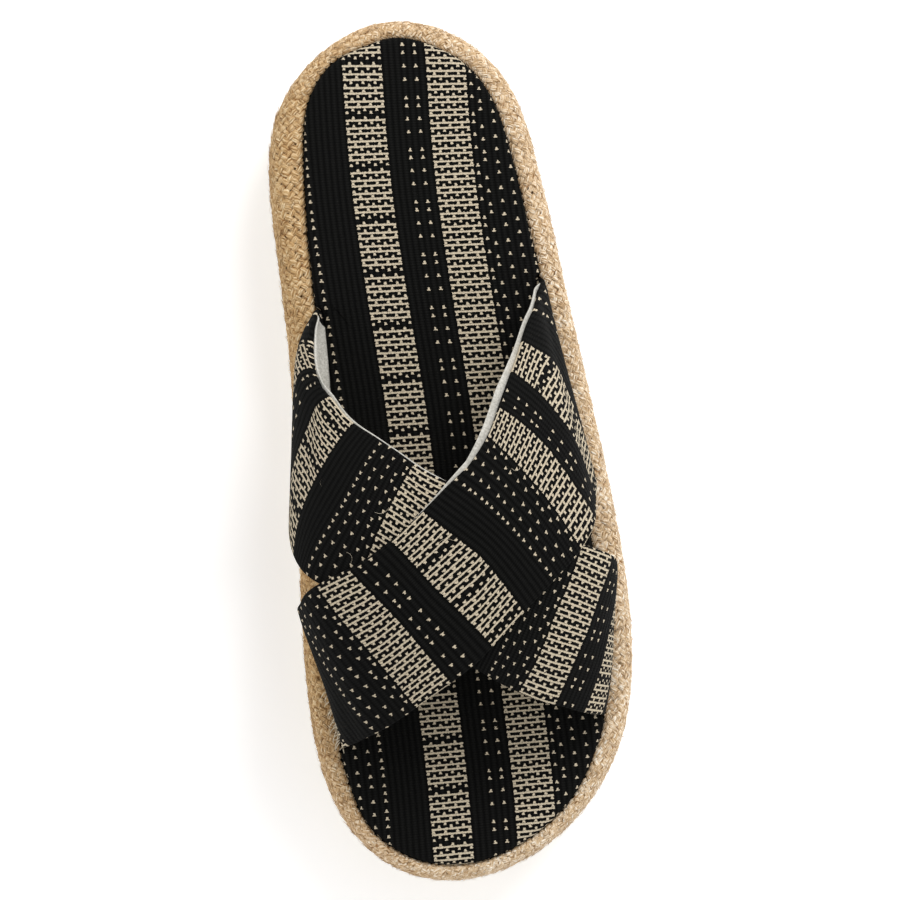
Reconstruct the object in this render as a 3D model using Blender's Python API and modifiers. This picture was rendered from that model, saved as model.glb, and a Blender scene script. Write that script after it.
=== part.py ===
"""Left cross-strap house slipper: woven straps, padded insole, jute-wrapped platform, ribbed rubber outsole.

Sizes are in millimetres and MM turns them into metres. +X is the lateral side, -Y the toe and +Z up.
The origin is on the ground under the middle of the slipper.
"""

import bmesh
import bpy
import numpy as np

MM = 0.001
GAP = 0.3  # clearance between neighbouring pieces

# Widest outline of the jute side, seen from above: place, x, y.
OUTLINE = (
    ("heel tip", -2.5, 131.0),
    ("heel lateral shoulder", 17.0, 125.5),
    ("heel lateral", 32.0, 109.5),
    ("heel lateral side", 38.5, 85.0),
    ("waist lateral", 43.0, 44.0),
    ("midfoot lateral", 48.0, -3.0),
    ("ball lateral", 51.0, -56.0),
    ("toe lateral shoulder", 46.0, -89.0),
    ("toe lateral corner", 34.0, -110.0),
    ("toe lateral end", 14.0, -125.5),
    ("toe tip", -8.0, -131.0),
    ("toe medial end", -26.0, -126.6),
    ("toe medial corner", -40.5, -112.5),
    ("toe medial shoulder", -47.5, -92.0),
    ("ball medial", -49.0, -68.0),
    ("midfoot medial", -46.5, -22.0),
    ("waist medial", -43.3, 30.0),
    ("heel medial side", -43.6, 72.0),
    ("heel medial", -39.0, 106.0),
    ("heel medial shoulder", -21.5, 125.0),
)
TOE_Y = -131.0
MEDIAL_SIDE_X, LATERAL_SIDE_X = -15.0, 10.0  # past these, a loop belongs to that side
CURVE_STEPS = 60  # fine steps between two places of the outline
CURVE_TENSION = 0.75  # power of the chord length that spaces the spline's knots

# Rim of jute that shows around the insole, measured along X at the sides and along Y at the ends.
RIM_LATERAL = 8.2
RIM_MEDIAL = 9.6
RIM_MEDIAL_TOE = 7.0
RIM_MEDIAL_FROM, RIM_MEDIAL_TO = -100.0, 0.0
RIM_END = 5.0

# Heights.
JOINT_Z = 10.0  # where rubber and jute meet
TOE_SPRING = 2.5
SPRING_FROM = -85.0
JUTE_HEIGHT = ((-131.0, 19.0), (-60.0, 21.5), (20.0, 23.5), (131.0, 25.0))  # station y, height
TRAY_DEPTH = 6.0  # rim top down to the floor under the insole

# Side of the jute platform, bottom to tray floor:
# place, inset, share of the rim width, share of the jute height, rise.
PLATFORM_SIDE = (
    ("underside edge", 5.2, 0.00, 0.00, GAP),
    ("lower roll", 2.4, 0.00, 0.00, 1.4),
    ("lower side", 0.7, 0.00, 0.00, 4.4),
    ("widest", 0.0, 0.00, 0.45, 0.0),
    ("upper side", 0.0, 0.03, 0.72, 0.0),
    ("shoulder", 0.0, 0.14, 0.88, 0.0),
    ("roll", 0.0, 0.36, 0.97, 0.0),
    ("roll top", 0.0, 0.64, 1.00, 0.0),
    ("roll inside", 0.0, 0.88, 1.00, -0.8),
    ("tray lip", 0.0, 1.00, 1.00, -2.2),
    ("tray foot", 0.0, 1.00, 1.00, -TRAY_DEPTH),
)
PLATFORM_POINTS = 96

# Insole section from its foot to its crown: place, inset from the tray wall, rise above the rim top.
INSOLE_SIDE = (
    ("foot", GAP, GAP - TRAY_DEPTH),
    ("side", GAP, 0.2),
    ("edge", GAP + 0.5, 1.1),
    ("edge roll", GAP + 1.6, 1.7),
    ("top edge", GAP + 4.0, 2.0),
)
INSOLE_CROWN = 2.6  # rise of the middle above the rim top
CROWN_SHARES = (0.8, 0.5, 0.2)  # rings of the crown, as shares of the top edge
INSOLE_POINTS = 192
NOTCH_MARGIN = 3.6  # length of notch past each end of a strap
NOTCH_RAMP = 2.4

# Rubber outsole: place, inset from the jute outline, rise above the underside, drop below the joint.
OUTSOLE_SIDE = (
    ("top edge", 4.9, None, 0.0),
    ("upper side", 4.3, None, 1.2),
    ("lower side", 4.3, 2.6, None),
    ("bottom roll", 5.1, 0.8, None),
    ("bottom edge", 7.2, 0.0, None),
)
UNDERSIDE_Z = 2.3  # underside of the rubber between its ribs
HEEL_BEVEL_RISE = 4.0
HEEL_BEVEL_LENGTH = 8.5
HEEL_BEVEL_END = 126.5
HEEL_BEVEL_POWER = 1.5
OUTSOLE_POINTS = 96
RIB_PITCH = 8.0
RIB_COUNT = 28
RIB_FIRST_Y = -104.0
RIB_INSET = 8.6  # rib ends, from the jute outline
# Half of a rib's section: half width, share of the rib's depth.
RIB_SECTION = ((3.5, 0.0), (3.1, 0.55), (2.3, 0.9), (1.3, 1.0))
RIB_ROOT = 1.2  # how far a rib reaches into the slab
# Rounded end of a rib: distance from its tip, share of the full section.
RIB_TIP = ((0.0, 0.35), (1.2, 0.8), (3.2, 1.0))

# Surface that the straps follow: station y, ridge height over the rim, medial and lateral overhang.
LAST = (
    (-95.0, 24.0, 0.0, 0.0),
    (-85.0, 31.0, 0.8, 0.3),
    (-70.0, 38.5, 3.4, 0.8),
    (-60.0, 42.0, 6.4, 1.4),
    (-50.0, 44.5, 9.6, 2.8),
    (-43.0, 45.9, 11.4, 3.8),
    (-35.0, 47.4, 12.6, 3.2),
    (-25.0, 48.5, 13.0, 2.4),
    (-10.0, 47.0, 12.5, 1.9),
    (10.0, 41.0, 11.2, 1.3),
    (20.0, 37.0, 10.2, 1.1),
    (30.0, 32.5, 8.4, 1.0),
    (36.0, 30.0, 5.8, 1.0),
    (40.0, 28.2, 3.0, 1.0),
    (44.0, 26.5, 0.8, 0.9),
    (50.0, 24.0, 0.0, 0.8),
)
STRAP_WALL = 3.0
STRAP_RISE = 1.0  # straight part of a strap above the rim top
STRAP_TUCK = 1.0  # how far below the rim top a strap is already straight
# Edges of the two straps: u from -1 at the medial foot to 1 at the lateral foot, then y of
# the under strap's front and rear edge and of the over strap's front and rear edge.
STRAP_EDGES = (
    (-1.00, -10.0, 43.5, -87.5, -45.5),
    (-0.90, -12.0, 43.0, -87.4, -45.4),
    (-0.80, -15.8, 42.0, -87.0, -45.2),
    (-0.70, -21.8, 40.4, -86.4, -44.8),
    (-0.60, -31.0, 37.6, -85.6, -43.7),
    (-0.55, -35.0, 35.2, -85.2, -42.6),
    (-0.50, -38.0, 30.5, -84.7, -41.4),
    (-0.45, -40.4, 20.2, -84.0, -40.1),
    (-0.42, -42.2, 16.2, -83.4, -39.4),
    (-0.38, -44.6, 12.4, -82.5, -38.4),
    (-0.34, -47.2, 7.9, -81.4, -37.3),
    (-0.30, -50.0, 4.3, -80.2, -36.1),
    (-0.24, -54.2, -0.2, -78.0, -33.0),
    (-0.18, -58.6, -5.2, -75.6, -28.8),
    (-0.10, -64.0, -12.5, -72.2, -21.4),
    (-0.05, -67.3, -16.0, -69.7, -16.0),
    (0.07, -73.6, -22.5, -61.6, -3.5),
    (0.18, -77.6, -28.0, -53.1, 9.4),
    (0.30, -80.8, -33.0, -44.0, 22.4),
    (0.40, -82.4, -36.2, -37.8, 31.6),
    (0.50, -84.0, -38.6, -31.5, 37.4),
    (0.60, -85.0, -40.1, -26.0, 41.0),
    (0.70, -85.6, -41.2, -21.6, 43.4),
    (0.80, -85.9, -41.8, -18.0, 45.0),
    (1.00, -86.0, -42.2, -12.0, 46.5),
)
UNDER_FRONT, UNDER_REAR, OVER_FRONT, OVER_REAR = 1, 2, 3, 4  # columns of STRAP_EDGES
OVER_LIFT = 2.4  # height of the over strap above the under strap's seat at the crossing
LIFT_FULL, LIFT_NONE = 0.44, 0.64  # u where the lift starts to fall, and where it ends
STRAP_STEPS = 44  # two steps at each end are the straight part
STRAP_ROWS = 9

SHARP_ANGLE = 0.7  # radians; steeper edges are shaded sharp

# Finish of each piece: linear colour, roughness.
FINISHES = {
    "outsole": ((0.80, 0.77, 0.68), 0.45),
    "platform": ((0.56, 0.41, 0.23), 0.90),
    "insole": ((0.02, 0.02, 0.02), 0.85),
    "upper": ((0.03, 0.03, 0.03), 0.80),
}


def clear_scene():
    for obj in list(bpy.data.objects):
        bpy.data.objects.remove(obj, do_unlink=True)


def through(table, at, column=1):
    """Smooth value of a table's column at the given places of its first column."""
    rows = np.asarray(table, float)
    place, value = rows[:, 0], rows[:, column]
    slope = np.gradient(value, place)
    at = np.clip(at, place[0], place[-1])
    i = np.clip(np.searchsorted(place, at) - 1, 0, len(place) - 2)
    step = place[i + 1] - place[i]
    t = (at - place[i]) / step
    start = (1 + 2 * t) * (1 - t) ** 2 * value[i] + t * (1 - t) ** 2 * step * slope[i]
    end = t**2 * (3 - 2 * t) * value[i + 1] + t**2 * (t - 1) * step * slope[i + 1]
    return start + end


def smoothstep(value):
    t = np.clip(value, 0.0, 1.0)
    return t * t * (3 - 2 * t)


def closed_curve(points, count):
    """Closed cubic spline through the points, read at even steps of its length."""
    knots = np.asarray(points, float)
    n = len(knots)
    leap = np.roll(knots, -1, axis=0) - knots
    span = np.linalg.norm(leap, axis=1) ** CURVE_TENSION
    system = np.zeros((n, n))
    pull = np.zeros((n, 2))
    for i in range(n):
        j = (i + 1) % n
        system[i, i - 1] += 1 / span[i - 1]
        system[i, i] += 2 / span[i - 1] + 2 / span[i]
        system[i, j] += 1 / span[i]
        pull[i] = 3 * (leap[i - 1] / span[i - 1] ** 2 + leap[i] / span[i] ** 2)
    tangent = np.linalg.solve(system, pull)
    t = np.linspace(0, 1, CURVE_STEPS, endpoint=False)[:, None]
    fine = []
    for i in range(n):
        j = (i + 1) % n
        fine.append(
            (1 + 2 * t) * (1 - t) ** 2 * knots[i]
            + t * (1 - t) ** 2 * span[i] * tangent[i]
            + t**2 * (3 - 2 * t) * knots[j]
            + t**2 * (t - 1) * span[i] * tangent[j]
        )
    fine = np.concatenate(fine)
    loop = np.vstack([fine, fine[:1]])
    run = np.concatenate([[0], np.cumsum(np.linalg.norm(np.diff(loop, axis=0), axis=1))])
    at = np.linspace(0, run[-1], count, endpoint=False)
    return np.stack([np.interp(at, run, loop[:, 0]), np.interp(at, run, loop[:, 1])], axis=1)


def outline(count):
    return closed_curve([row[1:] for row in OUTLINE], count)


def outward(loop):
    """Outward normals of a loop that runs clockwise seen from above."""
    along = np.roll(loop, -1, axis=0) - np.roll(loop, 1, axis=0)
    normal = np.stack([-along[:, 1], along[:, 0]], axis=1)
    return normal / np.linalg.norm(normal, axis=1)[:, None]


def rim_vectors(loop):
    """From each point of the outline, the step outwards that is as long as the rim is wide there."""
    normal = outward(loop)
    medial = np.interp(loop[:, 1], (RIM_MEDIAL_FROM, RIM_MEDIAL_TO), (RIM_MEDIAL_TOE, RIM_MEDIAL))
    side = np.where(normal[:, 0] < 0, medial, RIM_LATERAL)
    return np.stack([side * normal[:, 0], RIM_END * normal[:, 1]], axis=1)


def toe_spring(y):
    share = (SPRING_FROM - np.asarray(y, float)) / (SPRING_FROM - TOE_Y)
    return TOE_SPRING * np.clip(share, 0, None) ** 2


def joint_z(y):
    return JOINT_Z + toe_spring(y)


def jute_height(y):
    return through(JUTE_HEIGHT, y)


def rim_z(y):
    return joint_z(y) + jute_height(y)


def underside_z(y):
    bevel = np.clip((np.asarray(y, float) - HEEL_BEVEL_END + HEEL_BEVEL_LENGTH) / HEEL_BEVEL_LENGTH, 0, 1)
    return UNDERSIDE_Z + toe_spring(y) + HEEL_BEVEL_RISE * bevel**HEEL_BEVEL_POWER


def tray_wall(count):
    loop = outline(count)
    return loop - rim_vectors(loop)


def widths_at(loop, y):
    """Medial and lateral x of a loop at station y."""
    medial = loop[loop[:, 0] < MEDIAL_SIDE_X]
    lateral = loop[loop[:, 0] > LATERAL_SIDE_X]
    medial = medial[np.argsort(medial[:, 1])]
    lateral = lateral[np.argsort(lateral[:, 1])]
    return np.interp(y, medial[:, 1], medial[:, 0]), np.interp(y, lateral[:, 1], lateral[:, 0])


def ring(loop, z):
    return np.column_stack([loop, np.broadcast_to(z, len(loop))])


def new_object(name, mesh, collection):
    obj = bpy.data.objects.new(name, mesh)
    collection.objects.link(obj)
    return obj


def fill_across(bm, loop):
    """Fills an even loop with strips from side to side, between its first and its middle point."""
    middle = len(loop) // 2
    bm.faces.new((loop[0], loop[1], loop[-1]))
    for i in range(1, middle - 1):
        bm.faces.new((loop[i], loop[i + 1], loop[-i - 1], loop[-i]))
    bm.faces.new((loop[middle - 1], loop[middle], loop[middle + 1]))


def add_loft(bm, rings):
    """Joins rings of equal length into one closed body: the first and last ring are filled."""
    verts = [[bm.verts.new(point * MM) for point in points] for points in rings]
    for lower, upper in zip(verts, verts[1:]):
        for i in range(len(lower)):
            j = (i + 1) % len(lower)
            bm.faces.new((lower[i], lower[j], upper[j], upper[i]))
    fill_across(bm, verts[0])
    fill_across(bm, verts[-1])


def finished_mesh(bm, name):
    bmesh.ops.recalc_face_normals(bm, faces=bm.faces)
    mesh = bpy.data.meshes.new(name)
    bm.to_mesh(mesh)
    bm.free()
    mesh.shade_smooth()
    mesh.set_sharp_from_angle(angle=SHARP_ANGLE)
    return mesh


def make_platform(collection):
    """Jute-wrapped platform: a tray with a rolled rim around the insole."""
    loop = outline(PLATFORM_POINTS)
    normal = outward(loop)
    rim = rim_vectors(loop)
    side = []
    for _, inset, rim_share, height_share, rise in PLATFORM_SIDE:
        edge = loop - inset * normal - rim_share * rim
        z = joint_z(edge[:, 1]) + height_share * jute_height(edge[:, 1]) + rise
        side.append(ring(edge, z))
    bm = bmesh.new()
    add_loft(bm, side)
    return new_object("platform", finished_mesh(bm, "platform"), collection)


def notch_depth(loop):
    """How far the insole's edge steps in to leave room for the strap ends."""
    depth = np.zeros(len(loop))
    first, last = STRAP_EDGES[0], STRAP_EDGES[-1]
    for is_medial, row in ((True, first), (False, last)):
        for front, rear in ((UNDER_FRONT, UNDER_REAR), (OVER_FRONT, OVER_REAR)):
            y = loop[:, 1]
            before = smoothstep((y - row[front] + NOTCH_MARGIN + NOTCH_RAMP) / NOTCH_RAMP)
            after = smoothstep((row[rear] + NOTCH_MARGIN + NOTCH_RAMP - y) / NOTCH_RAMP)
            on_side = (loop[:, 0] < 0) == is_medial
            depth = np.maximum(depth, np.where(on_side, np.minimum(before, after), 0.0))
    return (STRAP_WALL + GAP) * depth


def make_insole(collection):
    """Padded insole: rounded edge, low crown, and a notch at each strap end."""
    wall = tray_wall(INSOLE_POINTS)
    normal = outward(wall)
    notch = notch_depth(wall)
    height = rim_z(wall[:, 1])
    rings = []
    for _, inset, rise in INSOLE_SIDE:
        rings.append(ring(wall - (inset + notch)[:, None] * normal, height + rise))
    top_rise = INSOLE_SIDE[-1][-1]
    top_edge = rings[-1][:, :2]
    for share in CROWN_SHARES:
        loop = top_edge * share
        rise = INSOLE_CROWN + (top_rise - INSOLE_CROWN) * share**2
        rings.append(ring(loop, rim_z(loop[:, 1]) + rise))
    bm = bmesh.new()
    add_loft(bm, rings)
    return new_object("insole", finished_mesh(bm, "insole"), collection)


def make_ribs(collection):
    """Round-crested ribs across the tread, to be joined to the rubber."""
    loop = outline(OUTSOLE_POINTS * 2)
    ends = loop - RIB_INSET * outward(loop)
    half = np.array(RIB_SECTION)
    section = np.vstack([half * (1, 1), (half * (-1, 1))[::-1]])
    bm = bmesh.new()
    for k in range(RIB_COUNT):
        y = RIB_FIRST_Y + k * RIB_PITCH
        medial, lateral = widths_at(ends, y)
        root = UNDERSIDE_Z + toe_spring(y)
        places = [(medial + far, share) for far, share in RIB_TIP]
        places += [(lateral - far, share) for far, share in RIB_TIP[::-1]]
        rings = []
        for x, share in places:
            across = y + section[:, 0] * share
            down = root - section[:, 1] * share * UNDERSIDE_Z
            top = [(x, across[-1], root + RIB_ROOT), (x, across[0], root + RIB_ROOT)]
            rings.append(np.vstack([np.column_stack([np.full(len(across), x), across, down]), top]))
        add_loft(bm, rings)
    ribs = new_object("tread_ribs", finished_mesh(bm, "tread_ribs"), collection)
    ribs.hide_render = True
    ribs.display_type = "WIRE"
    return ribs


def make_outsole(collection, cutters):
    """Rubber outsole: a slab with a rolled lower edge, toe spring, heel bevel and tread ribs."""
    loop = outline(OUTSOLE_POINTS)
    normal = outward(loop)
    rings = []
    for _, inset, rise, drop in OUTSOLE_SIDE:
        edge = loop - inset * normal
        y = edge[:, 1]
        z = joint_z(y) - drop if rise is None else underside_z(y) + rise
        rings.append(ring(edge, z))
    bm = bmesh.new()
    add_loft(bm, rings)
    outsole = new_object("outsole", finished_mesh(bm, "outsole"), collection)
    tread = outsole.modifiers.new("tread", "BOOLEAN")
    tread.operation = "UNION"
    tread.object = make_ribs(cutters)
    return outsole


def strap_point(u, y, lift, feet):
    """Inner face of a strap at u and y: an elliptic arch that overhangs its feet, raised by lift."""
    medial, lateral = widths_at(feet, y)
    middle = (medial + lateral) / 2
    side = -1 if u < 0 else 1
    foot = (lateral - medial) / 2
    overhang = max(through(LAST, y, 2 if u < 0 else 3), 0.0)
    ridge = through(LAST, y, 1)
    sink = np.sqrt(1 - (foot / (foot + overhang)) ** 2)
    half_height = ridge / (1 + sink)
    angle = np.pi / 2 - (np.pi / 2 + np.arcsin(sink)) * abs(u)
    x = middle + side * (foot + overhang + lift) * np.cos(angle)
    z = rim_z(y) + STRAP_RISE + ridge - half_height + (half_height + lift) * np.sin(angle)
    return np.array((x, y, z))


def strap_place(column, across, front, rear, lift, feet):
    """Point of a strap's inner face: two columns at each end go straight down into the tray."""
    u = np.clip(-1 + 2 * (column - 2) / (STRAP_STEPS - 4), -1, 1)
    edges = [through(STRAP_EDGES, u, front), through(STRAP_EDGES, u, rear)]
    y = edges[0] + (edges[1] - edges[0]) * across
    fall = 1 - smoothstep((abs(u) - LIFT_FULL) / (LIFT_NONE - LIFT_FULL))
    point = strap_point(u, y, lift * fall, feet)
    if column in (1, STRAP_STEPS - 1):
        point[2] = rim_z(y) - STRAP_TUCK
    if column in (0, STRAP_STEPS):
        point[2] = rim_z(y) - TRAY_DEPTH + GAP
    return point


def make_strap(name, front, rear, lift, collection):
    """One strap: a grid bent over the foot, thickened outwards."""
    wall = tray_wall(PLATFORM_POINTS * 2)
    feet = wall - (STRAP_WALL + GAP) * outward(wall)
    bm = bmesh.new()
    bmesh.ops.create_grid(bm, x_segments=STRAP_STEPS, y_segments=STRAP_ROWS, size=1)
    for vert in bm.verts:
        column = round((vert.co.x + 1) / 2 * STRAP_STEPS)
        across = (vert.co.y + 1) / 2
        vert.co = strap_place(column, across, front, rear, lift, feet) * MM
    mesh = bpy.data.meshes.new(name)
    bm.to_mesh(mesh)
    bm.free()
    mesh.shade_smooth()
    strap = new_object(name, mesh, collection)
    wall = strap.modifiers.new("wall", "SOLIDIFY")
    wall.thickness = STRAP_WALL * MM
    wall.offset = 1
    wall.use_even_offset = True
    return strap


def make_upper(collection, cutters):
    """Both straps as one solid, joined where they cross."""
    over = make_strap("over_strap", OVER_FRONT, OVER_REAR, OVER_LIFT, cutters)
    over.hide_render = True
    over.display_type = "WIRE"
    upper = make_strap("upper", UNDER_FRONT, UNDER_REAR, 0.0, collection)
    crossing = upper.modifiers.new("crossing", "BOOLEAN")
    crossing.operation = "UNION"
    crossing.object = over
    return upper


def finish(obj):
    colour, roughness = FINISHES[obj.name]
    material = bpy.data.materials.new(obj.name)
    material.use_nodes = True
    shader = material.node_tree.nodes["Principled BSDF"]
    shader.inputs["Base Color"].default_value = (*colour, 1)
    shader.inputs["Roughness"].default_value = roughness
    shader.inputs["Metallic"].default_value = 0.0
    obj.data.materials.append(material)


def main():
    clear_scene()
    slipper = bpy.data.collections.new("cross_strap_slipper")
    cutters = bpy.data.collections.new("cutters")
    for collection in (slipper, cutters):
        bpy.context.scene.collection.children.link(collection)
    pieces = (
        make_outsole(slipper, cutters),
        make_platform(slipper),
        make_insole(slipper),
        make_upper(slipper, cutters),
    )
    for piece in pieces:
        finish(piece)


main()
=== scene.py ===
"""Looks of the left cross-strap house slipper: woven striped straps and insole, a platform wrapped in jute
and a rubber outsole.

Shapes are worked out in millimetres, in the CAD frame: +X lateral, -Y toe, +Z up. MM turns them into
metres.
"""
import math
from collections import namedtuple
from functools import partial

import bpy
import numpy as np
from mathutils import Matrix, Vector


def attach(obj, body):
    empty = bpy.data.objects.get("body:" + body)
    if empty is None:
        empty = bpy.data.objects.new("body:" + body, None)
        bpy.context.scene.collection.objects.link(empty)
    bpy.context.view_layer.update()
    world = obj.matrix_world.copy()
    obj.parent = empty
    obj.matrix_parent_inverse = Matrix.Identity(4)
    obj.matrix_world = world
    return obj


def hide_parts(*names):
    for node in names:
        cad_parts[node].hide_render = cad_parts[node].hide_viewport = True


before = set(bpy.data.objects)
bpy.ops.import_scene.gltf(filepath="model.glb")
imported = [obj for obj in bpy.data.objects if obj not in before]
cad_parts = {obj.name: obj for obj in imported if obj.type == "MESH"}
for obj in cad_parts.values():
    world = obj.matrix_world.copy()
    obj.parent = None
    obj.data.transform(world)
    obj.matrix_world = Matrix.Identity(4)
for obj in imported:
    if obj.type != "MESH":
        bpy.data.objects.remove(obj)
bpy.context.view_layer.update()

MM = 0.001
GAP = 0.3
UP, DOWN = (0.0, 0.0, 1.0), (0.0, 0.0, -1.0)
SEED = 7

# Sizes, most of them the CAD part's own.
OUTLINE = (
    ("heel tip", -2.5, 131.0),
    ("heel lateral shoulder", 17.0, 125.5),
    ("heel lateral", 32.0, 109.5),
    ("heel lateral side", 38.5, 85.0),
    ("waist lateral", 43.0, 44.0),
    ("midfoot lateral", 48.0, -3.0),
    ("ball lateral", 51.0, -56.0),
    ("toe lateral shoulder", 46.0, -89.0),
    ("toe lateral corner", 34.0, -110.0),
    ("toe lateral end", 14.0, -125.5),
    ("toe tip", -8.0, -131.0),
    ("toe medial end", -26.0, -126.6),
    ("toe medial corner", -40.5, -112.5),
    ("toe medial shoulder", -47.5, -92.0),
    ("ball medial", -49.0, -68.0),
    ("midfoot medial", -46.5, -22.0),
    ("waist medial", -43.3, 30.0),
    ("heel medial side", -43.6, 72.0),
    ("heel medial", -39.0, 106.0),
    ("heel medial shoulder", -21.5, 125.0),
)
TOE_Y = -131.0
MEDIAL_SIDE_X, LATERAL_SIDE_X = -15.0, 10.0
CURVE_STEPS = 60
CURVE_TENSION = 0.75
RIM_LATERAL = 8.2
RIM_MEDIAL = 9.6
RIM_MEDIAL_TOE = 7.0
RIM_MEDIAL_FROM, RIM_MEDIAL_TO = -100.0, 0.0
RIM_END = 5.0
JOINT_Z = 10.0
TOE_SPRING = 2.5
SPRING_FROM = -85.0
JUTE_HEIGHT = ((-131.0, 19.0), (-60.0, 21.5), (20.0, 23.5), (131.0, 25.0))
TRAY_DEPTH = 6.0
# Platform section, bottom to tray floor: inset, share of the rim width, share of the jute height, rise.
PLATFORM_SIDE = (
    (5.2, 0.00, 0.00, GAP),
    (2.4, 0.00, 0.00, 1.4),
    (0.7, 0.00, 0.00, 4.4),
    (0.0, 0.00, 0.45, 0.0),
    (0.0, 0.03, 0.72, 0.0),
    (0.0, 0.14, 0.88, 0.0),
    (0.0, 0.36, 0.97, 0.0),
    (0.0, 0.64, 1.00, 0.0),
    (0.0, 0.88, 1.00, -0.8),
    (0.0, 1.00, 1.00, -2.2),
    (0.0, 1.00, 1.00, -TRAY_DEPTH),
)
# Rows of it that stand higher in the soft cloth, beside the insole, and by how much.
LIP_LIFT = ((8, 0.4), (9, 1.1))
# Where the cloth meets the insole, out from the CAD edge, in mm: y, medial, lateral.
LIP_SHIFT = (
    (-126.0, 0.0, 0.0),
    (-121.0, 0.7, 0.4),
    (-116.0, 1.2, 0.7),
    (-110.0, 1.4, 0.9),
    (-104.0, 0.9, 0.7),
    (-97.0, 0.4, 0.4),
    (-90.0, 0.5, 0.5),
    (-84.0, 0.0, 0.0),
    (-44.0, 0.0, -0.6),
    (-36.0, 0.0, -1.5),
    (-26.0, 0.0, -1.5),
    (-16.0, 0.0, -0.4),
    (-8.0, 0.0, 0.0),
    (44.0, 0.0, 0.0),
    (50.0, 0.2, 0.2),
    (56.0, 0.0, 0.0),
    (65.0, -0.1, -0.1),
    (73.0, -0.6, -0.1),
    (88.0, -1.1, -0.2),
    (95.0, -0.9, -0.2),
    (100.0, -0.5, -0.3),
    (104.0, 0.0, -0.4),
    (108.0, 0.4, -0.5),
    (113.0, 0.8, -0.8),
    (118.0, 0.6, -1.2),
    (121.0, -0.2, -1.7),
    (124.0, -1.5, -1.9),
    (126.0, -1.8, -1.8),
)
LIP_ROW = 9  # row of PLATFORM_SIDE where the cloth turns down beside the insole
RIM_NOMINAL, HEIGHT_NOMINAL = 8.5, 23.0
# Rubber section: inset, rise above the underside, drop below the joint.
OUTSOLE_SIDE = (
    (4.9, None, 0.0),
    (4.4, None, 0.5),
    (4.3, None, 1.2),
    (4.3, 2.6, None),
    (4.5, 1.6, None),
    (5.1, 0.8, None),
    (6.0, 0.25, None),
    (7.2, 0.0, None),
)
OUTSOLE_STEP = 0.05  # a row lies at least this far under the one before it
UNDERSIDE_Z = 2.3
HEEL_BEVEL_RISE = 4.0
HEEL_BEVEL_LENGTH = 8.5
HEEL_BEVEL_END = 126.5
HEEL_BEVEL_POWER = 1.5
RIB_PITCH = 8.0
RIB_COUNT = 28
RIB_FIRST_Y = -104.0
RIB_INSET = 8.6
RIB_WIDTH = 7.0
# Surface under the straps: station y, ridge height over the rim, medial and lateral overhang.
LAST = (
    (-95.0, 24.0, 0.0, 0.0),
    (-85.0, 31.0, 0.8, 0.3),
    (-70.0, 38.5, 3.4, 0.8),
    (-60.0, 42.0, 6.4, 1.4),
    (-50.0, 44.5, 9.6, 2.8),
    (-43.0, 45.9, 11.4, 3.8),
    (-35.0, 47.4, 12.6, 3.2),
    (-25.0, 48.5, 13.0, 2.4),
    (-10.0, 47.0, 12.5, 1.9),
    (10.0, 41.0, 11.2, 1.3),
    (20.0, 37.0, 10.2, 1.1),
    (30.0, 32.5, 8.4, 1.0),
    (36.0, 30.0, 5.8, 1.0),
    (40.0, 28.2, 3.0, 1.0),
    (44.0, 26.5, 0.8, 0.9),
    (50.0, 24.0, 0.0, 0.8),
)
STRAP_WALL = 3.0
STRAP_RISE = 1.0
# u from the medial to the lateral foot, then y of the under and over strap's front and rear edges.
STRAP_EDGES = (
    (-1.00, -10.0, 43.5, -87.5, -45.5),
    (-0.90, -12.0, 43.0, -87.4, -45.4),
    (-0.80, -15.8, 42.0, -87.0, -45.2),
    (-0.70, -21.8, 40.4, -86.4, -44.8),
    (-0.60, -31.0, 37.6, -85.6, -43.7),
    (-0.55, -35.0, 35.2, -85.2, -42.6),
    (-0.50, -38.0, 30.5, -84.7, -41.4),
    (-0.45, -40.4, 20.2, -84.0, -40.1),
    (-0.42, -42.2, 16.2, -83.4, -39.4),
    (-0.38, -44.6, 12.4, -82.5, -38.4),
    (-0.34, -47.2, 7.9, -81.4, -37.3),
    (-0.30, -50.0, 4.3, -80.2, -36.1),
    (-0.24, -54.2, -0.2, -78.0, -33.0),
    (-0.18, -58.6, -5.2, -75.6, -28.8),
    (-0.10, -64.0, -12.5, -72.2, -21.4),
    (-0.05, -67.3, -16.0, -69.7, -16.0),
    (0.07, -73.6, -22.5, -61.6, -3.5),
    (0.18, -77.6, -28.0, -53.1, 9.4),
    (0.30, -80.8, -33.0, -44.0, 22.4),
    (0.40, -82.4, -36.2, -37.8, 31.6),
    (0.50, -84.0, -38.6, -31.5, 37.4),
    (0.60, -85.0, -40.1, -26.0, 41.0),
    (0.70, -85.6, -41.2, -21.6, 43.4),
    (0.80, -85.9, -41.8, -18.0, 45.0),
    (1.00, -86.0, -42.2, -12.0, 46.5),
)
UNDER_FRONT, UNDER_REAR, OVER_FRONT, OVER_REAR = 1, 2, 3, 4
OVER_LIFT = 2.4
LIFT_FULL, LIFT_NONE = 0.44, 0.64

# Striped cloth: ribs and rows of the weave.
RIB = 1.82
ROW = 0.815
CHART_RIBS, CHART_ROWS = 36, 20
INSOLE_RIB_X = -16.97  # x of rib 0 on the insole
# How far the insole's stripes lie sideways, from the pull of the cloth when it was laid: y, shift.
INSOLE_BEND = (
    (-128.0, 0.0),
    (-117.0, 0.33),
    (-108.0, 0.7),
    (-99.0, 0.85),
    (-78.0, 0.6),
    (-40.0, 0.9),
    (0.0, 1.25),
    (15.0, 0.9),
    (30.0, 0.1),
    (46.0, -0.75),
    (61.0, -1.35),
    (75.0, -1.68),
    (88.0, -1.58),
    (100.0, -1.25),
    (110.0, -0.75),
    (128.0, -0.1),
)
INSOLE_ROW_Y = 133.8  # y of row 0 on the insole
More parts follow.
